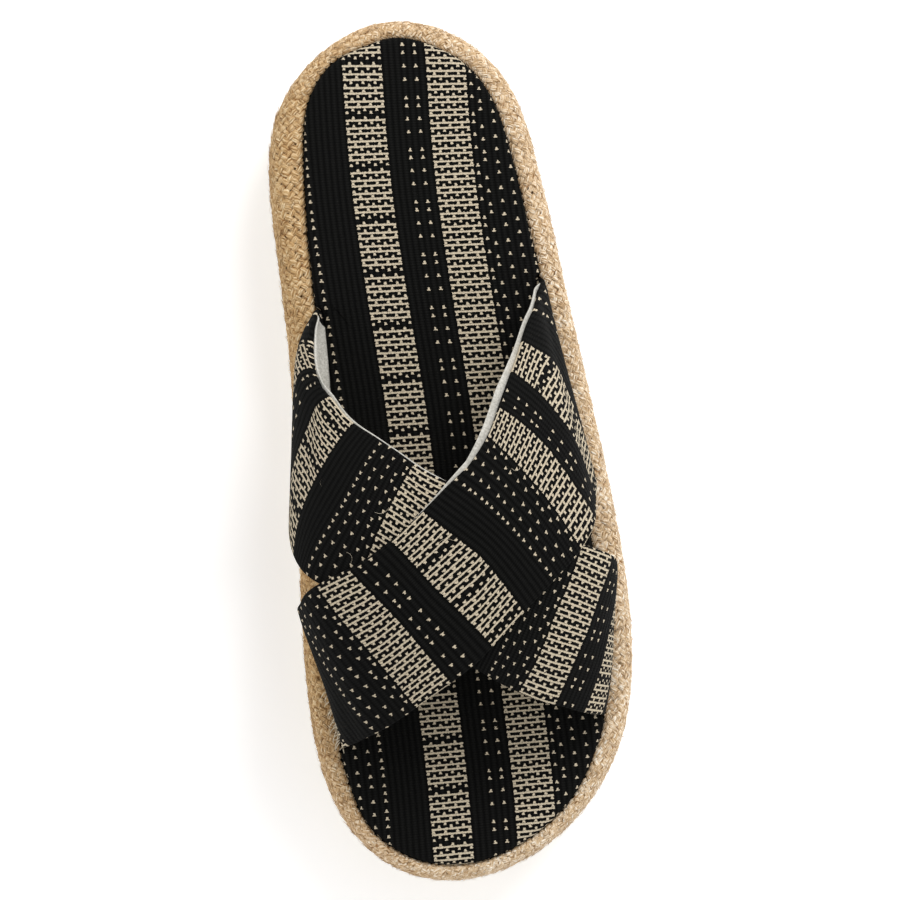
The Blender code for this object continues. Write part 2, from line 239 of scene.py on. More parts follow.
# How the insole's rows lie, from the same pull: y, rows ahead of an even count, slope of a row across it.
INSOLE_ROWS = (
    (-128.0, 9.7, 0.02),
    (-118.5, 9.1, 0.02),
    (-103.0, 8.0, 0.02),
    (-88.0, 6.3, 0.03),
    (-60.0, 3.6, 0.03),
    (-20.0, 1.2, 0.04),
    (20.0, 0.4, 0.05),
    (70.0, 0.25, 0.06),
    (86.0, -0.05, 0.06),
    (102.0, -0.35, 0.075),
    (118.8, 0.2, 0.1),
    (128.0, 0.5, 0.1),
)
ROW_SLOPE_X = -11.0  # where a sloping row has its own height
# Where the stripes lie on the straps: rib, then places on it as u along the strap and w across it, from the
# front edge to the rear one.
OVER_STRIPES = (
    (35.71, ((-0.843, 0.300), (-0.802, 0.110), (-0.742, 0.0))),
    (28.60, ((-0.642, 0.837), (-0.613, 0.610), (-0.535, 0.257), (-0.443, 0.0))),
    (20.29, ((-0.447, 1.0), (-0.345, 0.5), (-0.240, 0.0))),
    (13.71, ((-0.324, 1.0), (-0.213, 0.5), (-0.102, 0.0))),
    (12.00, ((-0.295, 1.0), (-0.186, 0.5), (-0.068, 0.0))),
    (10.00, ((-0.262, 1.0), (-0.155, 0.5), (-0.029, 0.0))),
    (6.29, ((-0.200, 1.0), (-0.097, 0.5), (0.044, 0.0))),
    (-0.29, ((-0.119, 1.0), (0.012, 0.5), (0.156, 0.0))),
    (-7.40, ((-0.040, 1.0), (0.110, 0.5), (0.262, 0.0))),
    (-15.70, ((0.073, 1.0), (0.225, 0.5), (0.380, 0.0))),
    (-22.29, ((0.139, 1.0), (0.325, 0.5), (0.510, 0.0))),
    (-29.70, ((0.233, 1.0), (0.440, 0.5), (0.643, 0.0))),
    (-36.29, ((0.355, 0.927), (0.575, 0.623), (0.765, 0.093))),
    (-43.40, ((0.490, 0.943), (0.645, 0.850), (0.723, 0.770), (0.812, 0.680))),
    (-47.60, ((0.748, 0.927),)),
)
UNDER_STRIPES = (
    (20.29, ((-0.525, 0.953), (-0.635, 0.887), (-0.702, 0.843))),
    (13.71, ((-0.480, 0.947), (-0.525, 0.860), (-0.580, 0.803), (-0.635, 0.710), (-0.900, 0.0))),
    (6.29, ((-0.393, 1.0), (-0.447, 0.873), (-0.495, 0.657), (-0.550, 0.510), (-0.742, 0.0))),
    (-0.29, ((-0.303, 1.0), (-0.453, 0.5), (-0.603, 0.0))),
    (-7.40, ((-0.247, 0.893), (-0.327, 0.577), (-0.385, 0.367), (-0.438, 0.213), (-0.507, 0.033))),
    (-15.70, ((-0.131, 1.0), (-0.240, 0.5), (-0.345, 0.0))),
    (-22.30, ((-0.042, 1.0), (-0.150, 0.5), (-0.255, 0.0))),
    (-36.30, ((0.160, 1.0), (0.055, 0.5), (-0.060, 0.0))),
    (-51.71, ((0.428, 1.0), (0.293, 0.5), (0.158, 0.0))),
    (-58.29, ((0.627, 1.0), (0.486, 0.5), (0.344, 0.0))),
    (-65.71, ((0.800, 1.0), (0.674, 0.5), (0.547, 0.0))),
)
PLATE_SCALE, PLATE_STIFFNESS = 50.0, 0.002  # of the plate that bends through these places
# How far the straps' rear edges are trimmed, in mm: u, cloth, lining.
UNDER_TRIM = (
    (-1.00, 0.0, 5.0),
    (-0.90, 0.0, 3.0),
    (-0.80, 0.2, 1.6),
    (-0.70, 0.4, 0.8),
    (-0.62, 1.0, 0.8),
    (-0.587, 2.0, 1.5),
    (-0.56, 3.3, 2.6),
    (-0.535, 4.7, 3.9),
    (-0.512, 6.2, 5.3),
    (-0.492, 7.0, 6.0),
    (-0.465, 3.8, 2.6),
    (-0.43, 1.2, -0.2),
    (-0.36, 0.5, -0.6),
    (-0.30, 0.3, -0.4),
    (-0.20, 0.2, -0.3),
    (-0.08, 0.1, -0.3),
    (0.00, 0.0, 0.5),
    (0.10, 0.0, 2.0),
    (1.00, 0.0, 2.5),
)
OVER_TRIM = (
    (-1.00, 0.0, 2.5),
    (-0.40, 0.0, 1.0),
    (-0.24, 0.0, 0.2),
    (-0.10, 0.6, 0.1),
    (-0.03, 1.4, -0.1),
    (0.05, 2.8, -0.6),
    (0.11, 3.6, -1.2),
    (0.17, 3.1, -1.6),
    (0.23, 3.2, -0.4),
    (0.31, 3.8, 1.0),
    (0.40, 3.3, 1.2),
    (0.45, 2.8, 1.1),
    (0.505, 2.2, 0.3),
    (0.60, 1.8, 0.2),
    (0.70, 1.0, 0.6),
    (0.85, 0.2, 1.5),
    (1.00, 0.0, 3.0),
)
# The padding thins towards a strap's edges and feet: how much is missing inside, and over what way.
EDGE_THIN, EDGE_WAY = 1.2, 5.0
FOOT_THIN, FOOT_FROM = 1.5, 0.72
STRAP_ROWS = 62.5  # rows of the weave across a strap
OVER_FIRST_ROW, UNDER_FIRST_ROW = -24.6, 4.75  # at the front edges

# Jute cloth.
YARN_PITCH = 1.92
CROSSING_STEPS = 3  # points of a yarn between two crossings
YARN_WIDTH = 2.3  # on top of a crossing
YARN_NECK = 0.76  # share of the width where the yarn dives between two crossings
YARN_THICKNESS = 0.6
YARN_SIDES = 6
YARN_WAVE = 0.15
YARN_DIVES = (0.6, 1.3)  # least and most share of that wave
YARN_WANDER, YARN_UNEVEN = 0.28, 0.17  # spread of a yarn's place, and of its girth
YARN_KNOTS = 12  # places along a yarn where these change
YARN_SINK = 0.5  # the yarns' middle lies this far inside the CAD surface
BASE_SINK = 0.85  # and the sheet of painted shade under them this far
FUZZ_COUNT = 2600
FUZZ_WIDTH, FUZZ_SIDES = 0.13, 3
FUZZ_TAPER = (0.5, 1.0, 1.0, 0.9, 0.4)
FUZZ_LENGTH, FUZZ_STAND, FUZZ_SINK = (1.5, 5.0), (0.05, 0.8), 0.1
FUZZ_ASTRAY, FUZZ_CURL = 0.45, 0.5  # spread of the heading and of the bend, in radians
FUZZ_FOOT, FUZZ_TOP, FUZZ_LOWEST = 1.5, 1.0, 0.5  # lowest start, highest start under the lip, lowest point

# Loose threads.
THREAD_WIDTH, THREAD_SIDES = 0.26, 5
FRAY_COUNT = 30
FRAY_Y, FRAY_U = (-70.0, -86.5), (-0.98, -0.9)
FRAY_TAPER = (1.0, 1.1, 1.0, 0.9, 0.8, 0.5)
FRAY_HEADING_X, FRAY_HEADING_Y = (-0.5, 0.5), (-1.0, 0.5)  # middle and spread
FRAY_LENGTH, FRAY_CURL = (1.5, 3.6), 0.9
FRAY_ARCH, FRAY_FALL = 0.5, 1.0
# Lint on the straps: u, y, the strap's lift.
LINT = (
    (-0.33, -36.0, 0.0),
    (-0.24, -22.0, 0.0),
    (-0.42, -10.0, 0.0),
    (0.44, -62.0, 0.0),
    (-0.05, -33.0, OVER_LIFT),
    (0.16, -14.0, OVER_LIFT),
    (-0.52, -66.0, OVER_LIFT),
    (-0.62, -80.0, OVER_LIFT),
    (0.36, 12.0, OVER_LIFT),
)
LINT_LENGTH, LINT_CURL = (2.5, 4.5), (1.5, 3.0)
LINT_GIRTH, LINT_HEIGHT = 0.3, 0.1
STRAP_HALF_LENGTH = 95.0  # about, from the ridge to a foot


def cubic(t, step, start, slope, end, end_slope):
    """Cubic over a step, from start to end, with a slope at each."""
    first = (1 + 2 * t) * (1 - t) ** 2 * start + t * (1 - t) ** 2 * step * slope
    return first + (t**2 * (3 - 2 * t) * end + t**2 * (t - 1) * step * end_slope)


def through(table, at, column=1):
    """Smooth curve through a column of a table, read where the first column is at."""
    rows = np.asarray(table, float)
    place, value = rows[:, 0], rows[:, column]
    slope = np.gradient(value, place)
    at = np.clip(at, place[0], place[-1])
    i = np.clip(np.searchsorted(place, at) - 1, 0, len(place) - 2)
    step = place[i + 1] - place[i]
    return cubic((at - place[i]) / step, step, value[i], slope[i], value[i + 1], slope[i + 1])


def smoothstep(value):
    t = np.clip(value, 0.0, 1.0)
    return t * t * (3 - 2 * t)


def unit(vectors):
    return vectors / np.maximum(np.linalg.norm(vectors, axis=-1, keepdims=True), 1e-9)


def lengths(points):
    """Length along a chain of points, up to each of them."""
    return np.append(0.0, np.cumsum(np.linalg.norm(np.diff(points, axis=0), axis=1)))


def closed_curve(points, count):
    """Closed cubic spline through the points, read at even steps of its length."""
    knots = np.asarray(points, float)
    n = len(knots)
    leap = np.roll(knots, -1, axis=0) - knots
    span = np.linalg.norm(leap, axis=1) ** CURVE_TENSION
    system = np.zeros((n, n))
    pull = np.zeros((n, 2))
    for i in range(n):
        j = (i + 1) % n
        system[i, i - 1] += 1 / span[i - 1]
        system[i, i] += 2 / span[i - 1] + 2 / span[i]
        system[i, j] += 1 / span[i]
        pull[i] = 3 * (leap[i - 1] / span[i - 1] ** 2 + leap[i] / span[i] ** 2)
    tangent = np.linalg.solve(system, pull)
    t = np.linspace(0, 1, CURVE_STEPS, endpoint=False)[:, None]
    after = np.roll(np.arange(n), -1)
    fine = [cubic(t, span[i], knots[i], tangent[i], knots[j], tangent[j]) for i, j in enumerate(after)]
    loop = np.concatenate([*fine, fine[0][:1]])
    run = lengths(loop)
    at = np.linspace(0, run[-1], count, endpoint=False)
    return np.stack([np.interp(at, run, loop[:, 0]), np.interp(at, run, loop[:, 1])], axis=1)


def outline(count):
    return closed_curve([row[1:] for row in OUTLINE], count)


def outward(loop):
    """Outward normals of a loop that runs clockwise seen from above."""
    along = np.roll(loop, -1, axis=0) - np.roll(loop, 1, axis=0)
    return unit(np.stack([-along[:, 1], along[:, 0]], axis=1))


def rim_vectors(loop):
    """From the edge of the tray out to the outline: the rim's width, and which way it runs."""
    normal = outward(loop)
    medial = np.interp(loop[:, 1], (RIM_MEDIAL_FROM, RIM_MEDIAL_TO), (RIM_MEDIAL_TOE, RIM_MEDIAL))
    side = np.where(normal[:, 0] < 0, medial, RIM_LATERAL)
    return np.stack([side * normal[:, 0], RIM_END * normal[:, 1]], axis=1)


def lip_vectors(loop):
    """Rim vectors of the jute cloth as it lies."""
    rim = rim_vectors(loop)
    y = (loop - rim)[:, 1]
    shift = np.where(loop[:, 0] < 0, through(LIP_SHIFT, y, 1), through(LIP_SHIFT, y, 2))
    return rim - shift[:, None] * outward(loop)


def toe_spring(y):
    share = (SPRING_FROM - np.asarray(y, float)) / (SPRING_FROM - TOE_Y)
    return TOE_SPRING * np.clip(share, 0, None) ** 2


def joint_z(y):
    return JOINT_Z + toe_spring(y)


def jute_height(y):
    return through(JUTE_HEIGHT, y)


def rim_z(y):
    return joint_z(y) + jute_height(y)


def underside_z(y):
    bevel = np.clip((np.asarray(y, float) - HEEL_BEVEL_END + HEEL_BEVEL_LENGTH) / HEEL_BEVEL_LENGTH, 0, 1)
    return UNDERSIDE_Z + toe_spring(y) + HEEL_BEVEL_RISE * bevel**HEEL_BEVEL_POWER


def tray_wall(count):
    loop = outline(count)
    return loop - rim_vectors(loop)


def widths_at(loop, y):
    """Medial and lateral x of a loop at stations y."""
    medial = loop[loop[:, 0] < MEDIAL_SIDE_X]
    lateral = loop[loop[:, 0] > LATERAL_SIDE_X]
    medial = medial[np.argsort(medial[:, 1])]
    lateral = lateral[np.argsort(lateral[:, 1])]
    return np.interp(y, medial[:, 1], medial[:, 0]), np.interp(y, lateral[:, 1], lateral[:, 0])


def ring(loop, z):
    return np.column_stack([loop, np.broadcast_to(z, len(loop))])


def strips(count):
    """Faces that fill an even loop from side to side, between its first and its middle point."""
    middle = count // 2
    faces = [(0, 1, count - 1)]
    faces += [(i, i + 1, count - i - 1, count - i) for i in range(1, middle - 1)]
    return faces + [(middle - 1, middle, middle + 1)]


def new_piece(name, verts, faces, material, uvs=None, edges=()):
    """Mesh object at the origin, from points in millimetres, with one UV pair per face corner if given."""
    mesh = bpy.data.meshes.new(name)
    mesh.from_pydata((np.asarray(verts) * MM).tolist(), edges, faces)
    if uvs is not None:
        layer = mesh.uv_layers.new(name="weave")
        layer.data.foreach_set("uv", np.asarray(uvs, np.float32).ravel())
    if material:
        mesh.materials.append(material)
    if faces:
        mesh.shade_smooth()
    piece = bpy.data.objects.new(name, mesh)
    bpy.context.scene.collection.objects.link(piece)
    return piece


def loft(name, rings, material, uv=None):
    """Closed body through rings of equal length. uv gives a pair for each point of each ring, with one more
    column than the ring has points, so that a pattern can run round it."""
    rings = np.asarray(rings, float)
    rows, count = rings.shape[:2]
    faces, corners = [], []
    for i in range(rows - 1):
        for j in range(count):
            k = (j + 1) % count
            faces.append((i * count + j, i * count + k, (i + 1) * count + k, (i + 1) * count + j))
            corners.append(((i, j), (i, j + 1), (i + 1, j + 1), (i + 1, j)))
    last = (rows - 1) * count
    for face in strips(count):
        faces.append(face[::-1])
        corners.append([(0, j) for j in face[::-1]])
        faces.append(tuple(last + j for j in face))
        corners.append([(rows - 1, j) for j in face])
    uvs = None if uv is None else [uv[i][j] for face in corners for i, j in face]
    piece = new_piece(name, rings.reshape(-1, 3), faces, material, uvs)
    face_outwards(piece)
    return piece


def face_outwards(piece):
    """Turns a closed mesh's faces out, by the sign of its volume."""
    mesh = piece.data
    mesh.calc_loop_triangles()
    co = np.empty(len(mesh.vertices) * 3)
    mesh.vertices.foreach_get("co", co)
    co = co.reshape(-1, 3)
    tri = np.empty(len(mesh.loop_triangles) * 3, int)
    mesh.loop_triangles.foreach_get("vertices", tri)
    a, b, c = co[tri[0::3]], co[tri[1::3]], co[tri[2::3]]
    if np.einsum("ij,ij->", a, np.cross(b, c)) < 0:
        mesh.flip_normals()


# Materials.

MATH, VECTOR_MATH = "ShaderNodeMath", "ShaderNodeVectorMath"
NOISE, RAMP, MIX = "ShaderNodeTexNoise", "ShaderNodeValToRGB", "ShaderNodeMix"


def linear(colour):
    """sRGB hex, such as "c8a070", as a linear RGBA tuple."""
    values = [int(colour[i : i + 2], 16) / 255 for i in (0, 2, 4)]
    return tuple(v / 12.92 if v <= 0.04045 else ((v + 0.055) / 1.055) ** 2.4 for v in values) + (1.0,)


def add(tree, kind, inputs=(), out=0, stops=(), stepped=False, **settings):
    """Adds a node with its settings and a ramp's stops. Inputs, by order or by name, get a value or a link.
    Returns the first output, the one that out names, or for None all of them."""
    node = tree.nodes.new(kind)
    for name, value in settings.items():
        setattr(node, name, value)
    for name, value in inputs.items() if isinstance(inputs, dict) else enumerate(inputs):
        if isinstance(value, bpy.types.NodeSocket):
            tree.links.new(value, node.inputs[name])
        else:
            node.inputs[name].default_value = value
    if stops:
        ramp = node.color_ramp
        ramp.interpolation = "CONSTANT" if stepped else "LINEAR"
        while len(ramp.elements) < len(stops):
            ramp.elements.new(0.5)
        for element, (place, colour) in zip(ramp.elements, stops):
            element.position = place
            element.color = linear(colour) if isinstance(colour, str) else colour
    return node.outputs if out is None else node.outputs[out]


def new_material(name, **constants):
    """Principled material with constants on its shader's sockets, and add for its tree."""
    material = bpy.data.materials.new(name)
    material.use_nodes = True
    shader = material.node_tree.nodes["Principled BSDF"]
    for key, value in constants.items():
        shader.inputs[key.replace("_", " ")].default_value = value
    return material, partial(add, material.node_tree)


def surface(material, colour, height=None, strength=0.0, depth=0.0):
    """Gives a material its colour and, where a height is given, a relief of a depth in millimetres."""
    tree = material.node_tree
    shader = tree.nodes["Principled BSDF"]
    tree.links.new(colour, shader.inputs["Base Color"])
    if height is not None:
        bump = add(tree, "ShaderNodeBump", {"Height": height, "Strength": strength, "Distance": depth * MM})
        tree.links.new(bump, shader.inputs["Normal"])
    return material


# Weave chart by rows: F is a full cream line across a band, a and b are cream ticks on even and odd ribs.
BAND_A_ROWS = "b F a b F a F b a F b F a b F a F b a -".split()
BAND_B_ROWS = "F a F b a F b F a b".split() * 2
BAND_B_SHIFT = 8  # row of band A where band B's row 0 lies
BAND_A_RIB, BAND_B_RIB = 3.0, 17.0  # middle rib of each band
BAND_HALF = 3.29
LINE_REACH, LINE_BEAD = 0.09, 0.1  # how far a cream line stays inside its row, and more between its beads
TICK_TOP, TICK_SPREAD = 0.15, 0.12  # half width of a tick at its top, and what it gains down its row
DOT_LEAD = 0.2  # a dot starts this far above its row
DOT_NECK, DOT_END = 0.8, 1.22  # where a dot's foot starts and ends, in rows
# Half width of a dot at its top, what it gains in a row, and what its foot adds.
DOT_TOP, DOT_SPREAD, DOT_FOOT = 0.13, 0.05, 0.115
DOT_OWN_ROW, DOT_NEXT_ROW = 0.5, 1.0  # chart levels of a dot's own row and of the next
# Lines of single dots: rib, row numbers counted as band A's.
DOT_LINES = (
    (10.0, (1, 6, 13, 16)),
    (12.0, (1, 6, 13, 16)),
    (21.0, (0, 3, 8, 13)),
    (22.3, (5, 10, 15, 18)),
    (24.4, (3, 9, 14, 19)),
    (26.5, (1, 6, 11, 15)),
    (28.6, (1, 5, 8, 11, 15, 18)),
)
# Threads are pulled out of place about every 0.8 mm, by up to half of these shares of a rib and a row.
PULL_SCALE, PULL = 2.3, (0.32, 0.5, 0.0)
FIBRE_SCALE = 6.0  # fibres to a rib, 0.3 mm each


def woven_stripes():
    """Rep-woven cotton, black with a cream pattern weft: matt, ribbed, with slightly raised cream floats."""
    material, node = new_material("woven cotton rep", Roughness=0.9, Specular_IOR_Level=0.06)
    uv = node("ShaderNodeUVMap", uv_map="weave")
    pull = node(NOISE, {"Vector": uv, "Scale": PULL_SCALE, "Detail": 2.0}, "Color", noise_dimensions="2D")
    pull = node(VECTOR_MATH, (pull, (0.5, 0.5, 0.5)), operation="SUBTRACT")
    pull = node(VECTOR_MATH, (pull, PULL), operation="MULTIPLY")
    place = node(VECTOR_MATH, (uv, pull), operation="ADD")
    rib, row, _ = node("ShaderNodeSeparateXYZ", (place,), None)

    def chart_place(at):
        """Middle of the row that a height lies in, as a share of the chart."""
        middle = node(MATH, (node(MATH, (at,), operation="FLOOR"), 0.5), operation="ADD")
        share = node(MATH, (middle, float(CHART_ROWS)), operation="DIVIDE")
        return node(MATH, (share,), operation="FRACT")

    def look_up(share, levels):
        """Each row's three levels, from 0 to 1, as the channels of a stepped ramp."""
        stops = [(i / CHART_ROWS, (*level, 1.0)) for i, level in enumerate(levels)]
        return node("ShaderNodeSeparateColor", (node(RAMP, (share,), stops=stops, stepped=True),), None)

    def near(middle, half):
        """1 where the rib lies within half of a chart place."""
        away = node(MATH, (rib, middle), operation="SUBTRACT")
        away = node(MATH, (away, CHART_RIBS / 2, -CHART_RIBS / 2), operation="WRAP")
        return node(MATH, (node(MATH, (away,), operation="ABSOLUTE"), half), operation="LESS_THAN")

    def wave(of, trig, times):
        """A wave's height, from 0 to 1."""
        turn = node(MATH, (of, times * math.pi), operation="MULTIPLY")
        return node(MATH, (node(MATH, (turn,), operation=trig),), operation="ABSOLUTE")

    # A full line is a little thinner than its row, with two beads to a rib.
    reach = node(MATH, (wave(rib, "SINE", 2), -LINE_BEAD, LINE_REACH + LINE_BEAD), operation="MULTIPLY_ADD")
    row_share = chart_place(row)
    row_above, row_below, row_dot = (
        chart_place(node(MATH, (row, away), operation=way))
        for way, away in (("SUBTRACT", reach), ("ADD", reach), ("ADD", DOT_LEAD))
    )
    within = node(MATH, (row,), operation="FRACT")
    half_tick = node(MATH, (within, TICK_SPREAD, TICK_TOP), operation="MULTIPLY_ADD")
    to_even = node(MATH, (node(MATH, (rib, 1.0, -1.0), operation="WRAP"),), operation="ABSOLUTE")
    to_odd = node(MATH, (1.0, to_even), operation="SUBTRACT")
    on_even, on_odd = (node(MATH, (to, half_tick), operation="LESS_THAN") for to in (to_even, to_odd))
    bands = []
    for middle, rows, shift in ((BAND_A_RIB, BAND_A_ROWS, 0), (BAND_B_RIB, BAND_B_ROWS, BAND_B_SHIFT)):
        rows = rows[-shift:] + rows[:-shift] if shift else rows
        levels = [(r == "F", r == "a", r == "b") for r in rows]
        _, even, odd = look_up(row_share, levels)
        lines = (look_up(share, levels)[0] for share in (row_above, row_below))
        line = node(MATH, lines, operation="MULTIPLY")
        even = node(MATH, (even, on_even), operation="MULTIPLY")
        odd = node(MATH, (odd, on_odd), operation="MULTIPLY")
        band = node(MATH, (line, node(MATH, (even, odd), operation="MAXIMUM")), operation="MAXIMUM")
        bands.append(node(MATH, (near(middle, BAND_HALF), band), operation="MULTIPLY"))
    cream = node(MATH, bands, operation="MAXIMUM")
    within_dot = node(MATH, (node(MATH, (row, DOT_LEAD), operation="ADD"),), operation="FRACT")
    for first in range(0, len(DOT_LINES), 3):
        lines = DOT_LINES[first : first + 3]
        levels = np.zeros((CHART_ROWS, 3))
        for channel, (_, rows) in enumerate(lines):
            levels[[(r + 1) % CHART_ROWS for r in rows], channel] = DOT_NEXT_ROW
            levels[list(rows), channel] = DOT_OWN_ROW
        for (middle, _), level in zip(lines, look_up(row_dot, levels)):
            # A dot is narrow at its top, in its own row, and wide at its foot, in the next.
            second = node(MATH, (level, (DOT_OWN_ROW + DOT_NEXT_ROW) / 2), operation="GREATER_THAN")
            down = node(MATH, (within_dot, second), operation="ADD")
            half = node(MATH, (down, DOT_NECK), operation="GREATER_THAN")
            half = node(MATH, (half, DOT_FOOT, DOT_TOP), operation="MULTIPLY_ADD")
            half = node(MATH, (down, DOT_SPREAD, half), operation="MULTIPLY_ADD")
            drawn = node(MATH, (level, DOT_OWN_ROW / 2), operation="GREATER_THAN")
            ended = node(MATH, (down, DOT_END), operation="LESS_THAN")
            drawn = node(MATH, (drawn, ended), operation="MULTIPLY")
            dot = node(MATH, (drawn, near(middle, half)), operation="MULTIPLY")
            cream = node(MATH, (cream, dot), operation="MAXIMUM")

    fibre = node(NOISE, {"Vector": uv, "Scale": FIBRE_SCALE, "Detail": 3.0}, noise_dimensions="2D")
    cream_tone = node(RAMP, (fibre,), stops=((0.3, "9a8d77"), (0.5, "c8baa1"), (0.75, "ddd1bb")))
    # The black ground's tone is lighter on the crests of its ribs and rows, which is painted sheen, and
    # varies at random with the fibres.
    rib_wave, row_wave = wave(rib, "COSINE", 1), wave(row, "COSINE", 1)
    ground = node(MATH, (rib_wave, 0.4), operation="MULTIPLY")
    height = node(MATH, (row_wave, 0.2), operation="MULTIPLY")
    for part, share in ((fibre, 0.35), (row_wave, 0.25)):
        ground = node(MATH, (part, share, ground), operation="MULTIPLY_ADD")
    for part, share in ((rib_wave, 0.75), (cream, 0.5), (fibre, 0.25)):
        height = node(MATH, (part, share, height), operation="MULTIPLY_ADD")
    black_tone_with_painted_sheen = node(RAMP, (ground,), stops=((0.2, "030303"), (0.6, "0d0d0c"), (1.0, "1c1c1b")))
    colour = node(MIX, {0: cream, 6: black_tone_with_painted_sheen, 7: cream_tone}, 2, data_type="RGBA")
    return surface(material, colour, height, 0.7, 0.35)


STRAND_TURN, STRANDS = 0.35, 1.35  # strands passed in a millimetre of yarn, and strands to half its width
STREAK_STRETCH, STREAK_SCALE = 0.25, 1.5  # streaks are about 2.7 mm long and 0.6 mm wide


def jute_yarn():
    """Spun jute: matt tan bast fibre. Paler and browner strands show along it. It is darker where it dives
    and a little darker in the grooves between strands: both are painted shade.
    """
    material, node = new_material("spun jute yarn", Roughness=0.85, Specular_IOR_Level=0.25)
    along, across, tint, wave = (
        node("ShaderNodeAttribute", (), "Fac", attribute_name=name)
        for name in ("along", "across", "tint", "wave")
    )
    # Strands wind slowly round the yarn. They are drawn about 0.8 mm wide, more than twice their real width,
    # so that they show.
    strand = node(MATH, (along, STRAND_TURN), operation="MULTIPLY")
    for part, share in ((tint, 5.0), (across, STRANDS)):
        strand = node(MATH, (part, share, strand), operation="MULTIPLY_ADD")
    ridge = node(MATH, (strand, math.pi), operation="MULTIPLY")
    ridge = node(MATH, (node(MATH, (ridge,), operation="SINE"),), operation="ABSOLUTE")
    stretched = node(MATH, (along, STREAK_STRETCH), operation="MULTIPLY")
    apart = node(MATH, (tint, 60.0), operation="MULTIPLY")
    lie = node("ShaderNodeCombineXYZ", (stretched, strand, apart))
    streak = node(NOISE, {"Vector": lie, "Scale": STREAK_SCALE, "Detail": 3.0, "Roughness": 0.6})
    body = node("ShaderNodeTexCoord", (), "Object")
    patch = node(NOISE, {"Vector": body, "Scale": 1 / (7 * MM), "Detail": 2.0})
    # The tone is lighter on the middle of each strand and darker in the grooves between strands, which is
    # painted shade.
    tone = node(MATH, (ridge, 0.12, -0.235), operation="MULTIPLY_ADD")
    for part, share in ((streak, 1.5), (patch, 0.2)):
        tone = node(MATH, (part, share, tone), operation="MULTIPLY_ADD")
    stops = ((0.4, "76542f"), (0.54, "b4956f"), (0.66, "cdb18c"), (0.78, "e1caab"), (0.92, "f5ecdc"))
    colour = node(RAMP, (tone,), stops=stops)
    # Painted shade: the yarn is darker where it dives under the crossing yarns.
    depth = node(MATH, (wave, 0.5, 0.5), operation="MULTIPLY_ADD")
    painted_dive_shade = node(RAMP, (depth,), stops=((0.05, "ab8859"), (0.6, "ffffff")))
    # Painted light and shade: the cloth is paler on the lateral side, where the light falls, and browner on
    # the medial side, in its shade. It is also paler towards the toe.
    x, y, _ = node("ShaderNodeSeparateXYZ", (body,), None)
    toe = node(MATH, (y, -1 / (60 * MM), -1.0), operation="MULTIPLY_ADD")
    toe = node(MATH, (node(MATH, (toe, 0.0), operation="MAXIMUM"), 0.45, 0.5), operation="MULTIPLY_ADD")
    side = node(MATH, (x, 1 / (90 * MM), toe), operation="MULTIPLY_ADD")
    painted_side_light = node(RAMP, (side,), stops=((0.0, "e6d7b8"), (0.5, "f7f0e6"), (1.0, "ffffff")))
    for layer in (painted_dive_shade, painted_side_light):
        colour = node(MIX, {0: 1.0, 6: colour, 7: layer}, 2, data_type="RGBA", blend_type="MULTIPLY")
    return surface(material, colour, node(MATH, (ridge, 0.6, streak), operation="MULTIPLY_ADD"), 0.55, 0.3)


def jute_gap_shade():
    """Painted shade between the yarns: a brown, matt, fibrous sheet under the jute cloth that stands in for
    the shadow in its gaps.
    """
    material, node = new_material("painted jute gap shade", Roughness=0.95, Specular_IOR_Level=0.1)
    body = node("ShaderNodeTexCoord", (), "Object")
    fibre = node(NOISE, {"Vector": body, "Scale": 1 / (1.2 * MM), "Detail": 3.0})
    return surface(material, node(RAMP, (fibre,), stops=((0.3, "4a331d"), (0.7, "795a38"))), fibre, 0.6, 0.4)


def napped_lining():
    """Grey microfibre suede: a short nap that is paler where it is brushed, no gloss."""
    material, node = new_material(
        "microfibre suede", Roughness=0.95, Specular_IOR_Level=0.1, Sheen_Weight=0.04, Sheen_Roughness=0.5
    )
    body = node("ShaderNodeTexCoord", (), "Object")
    # The nap is drawn 0.7 mm coarse, so that it shows.
    nap = node(NOISE, {"Vector": body, "Scale": 1 / (0.7 * MM), "Detail": 4.0, "Roughness": 0.7})
    brushed = node(NOISE, {"Vector": body, "Scale": 1 / (9 * MM), "Detail": 2.0})
    tone = node(MATH, (brushed, 0.4, -0.25), operation="MULTIPLY_ADD")
    tone = node(MATH, (nap, 1.1, tone), operation="MULTIPLY_ADD")
    colour = node(RAMP, (tone,), stops=((0.32, "a9a69d"), (0.5, "c4c1b8"), (0.68, "d6d3cb")))
    return surface(material, colour, nap, 0.9, 0.35)


def cotton_thread():
    """Loose cotton thread: cream, matt, a little uneven."""
    material, node = new_material("loose cotton thread", Roughness=0.9, Specular_IOR_Level=0.1)
    body = node("ShaderNodeTexCoord", (), "Object")
    fibre = node(NOISE, {"Vector": body, "Scale": 1 / (0.8 * MM), "Detail": 2.0})
    return surface(material, node(RAMP, (fibre,), stops=((0.3, "b4a78f"), (0.7, "e2d8c4"))))


def ivory_rubber():
    """Moulded ivory rubber: even, satin, faintly mottled by the mould."""
    material, node = new_material("moulded ivory rubber", Roughness=0.42, IOR=1.52, Specular_IOR_Level=0.45)
    body = node("ShaderNodeTexCoord", (), "Object")
    cloud = node(NOISE, {"Vector": body, "Scale": 1 / (14 * MM), "Detail": 3.0})
    grit = node(NOISE, {"Vector": body, "Scale": 1 / (0.8 * MM), "Detail": 2.0})
    return surface(material, node(RAMP, (cloud,), stops=((0.3, "e2dcc9"), (0.7, "efebdc"))), grit, 0.15, 0.1)


# Geometry Nodes.


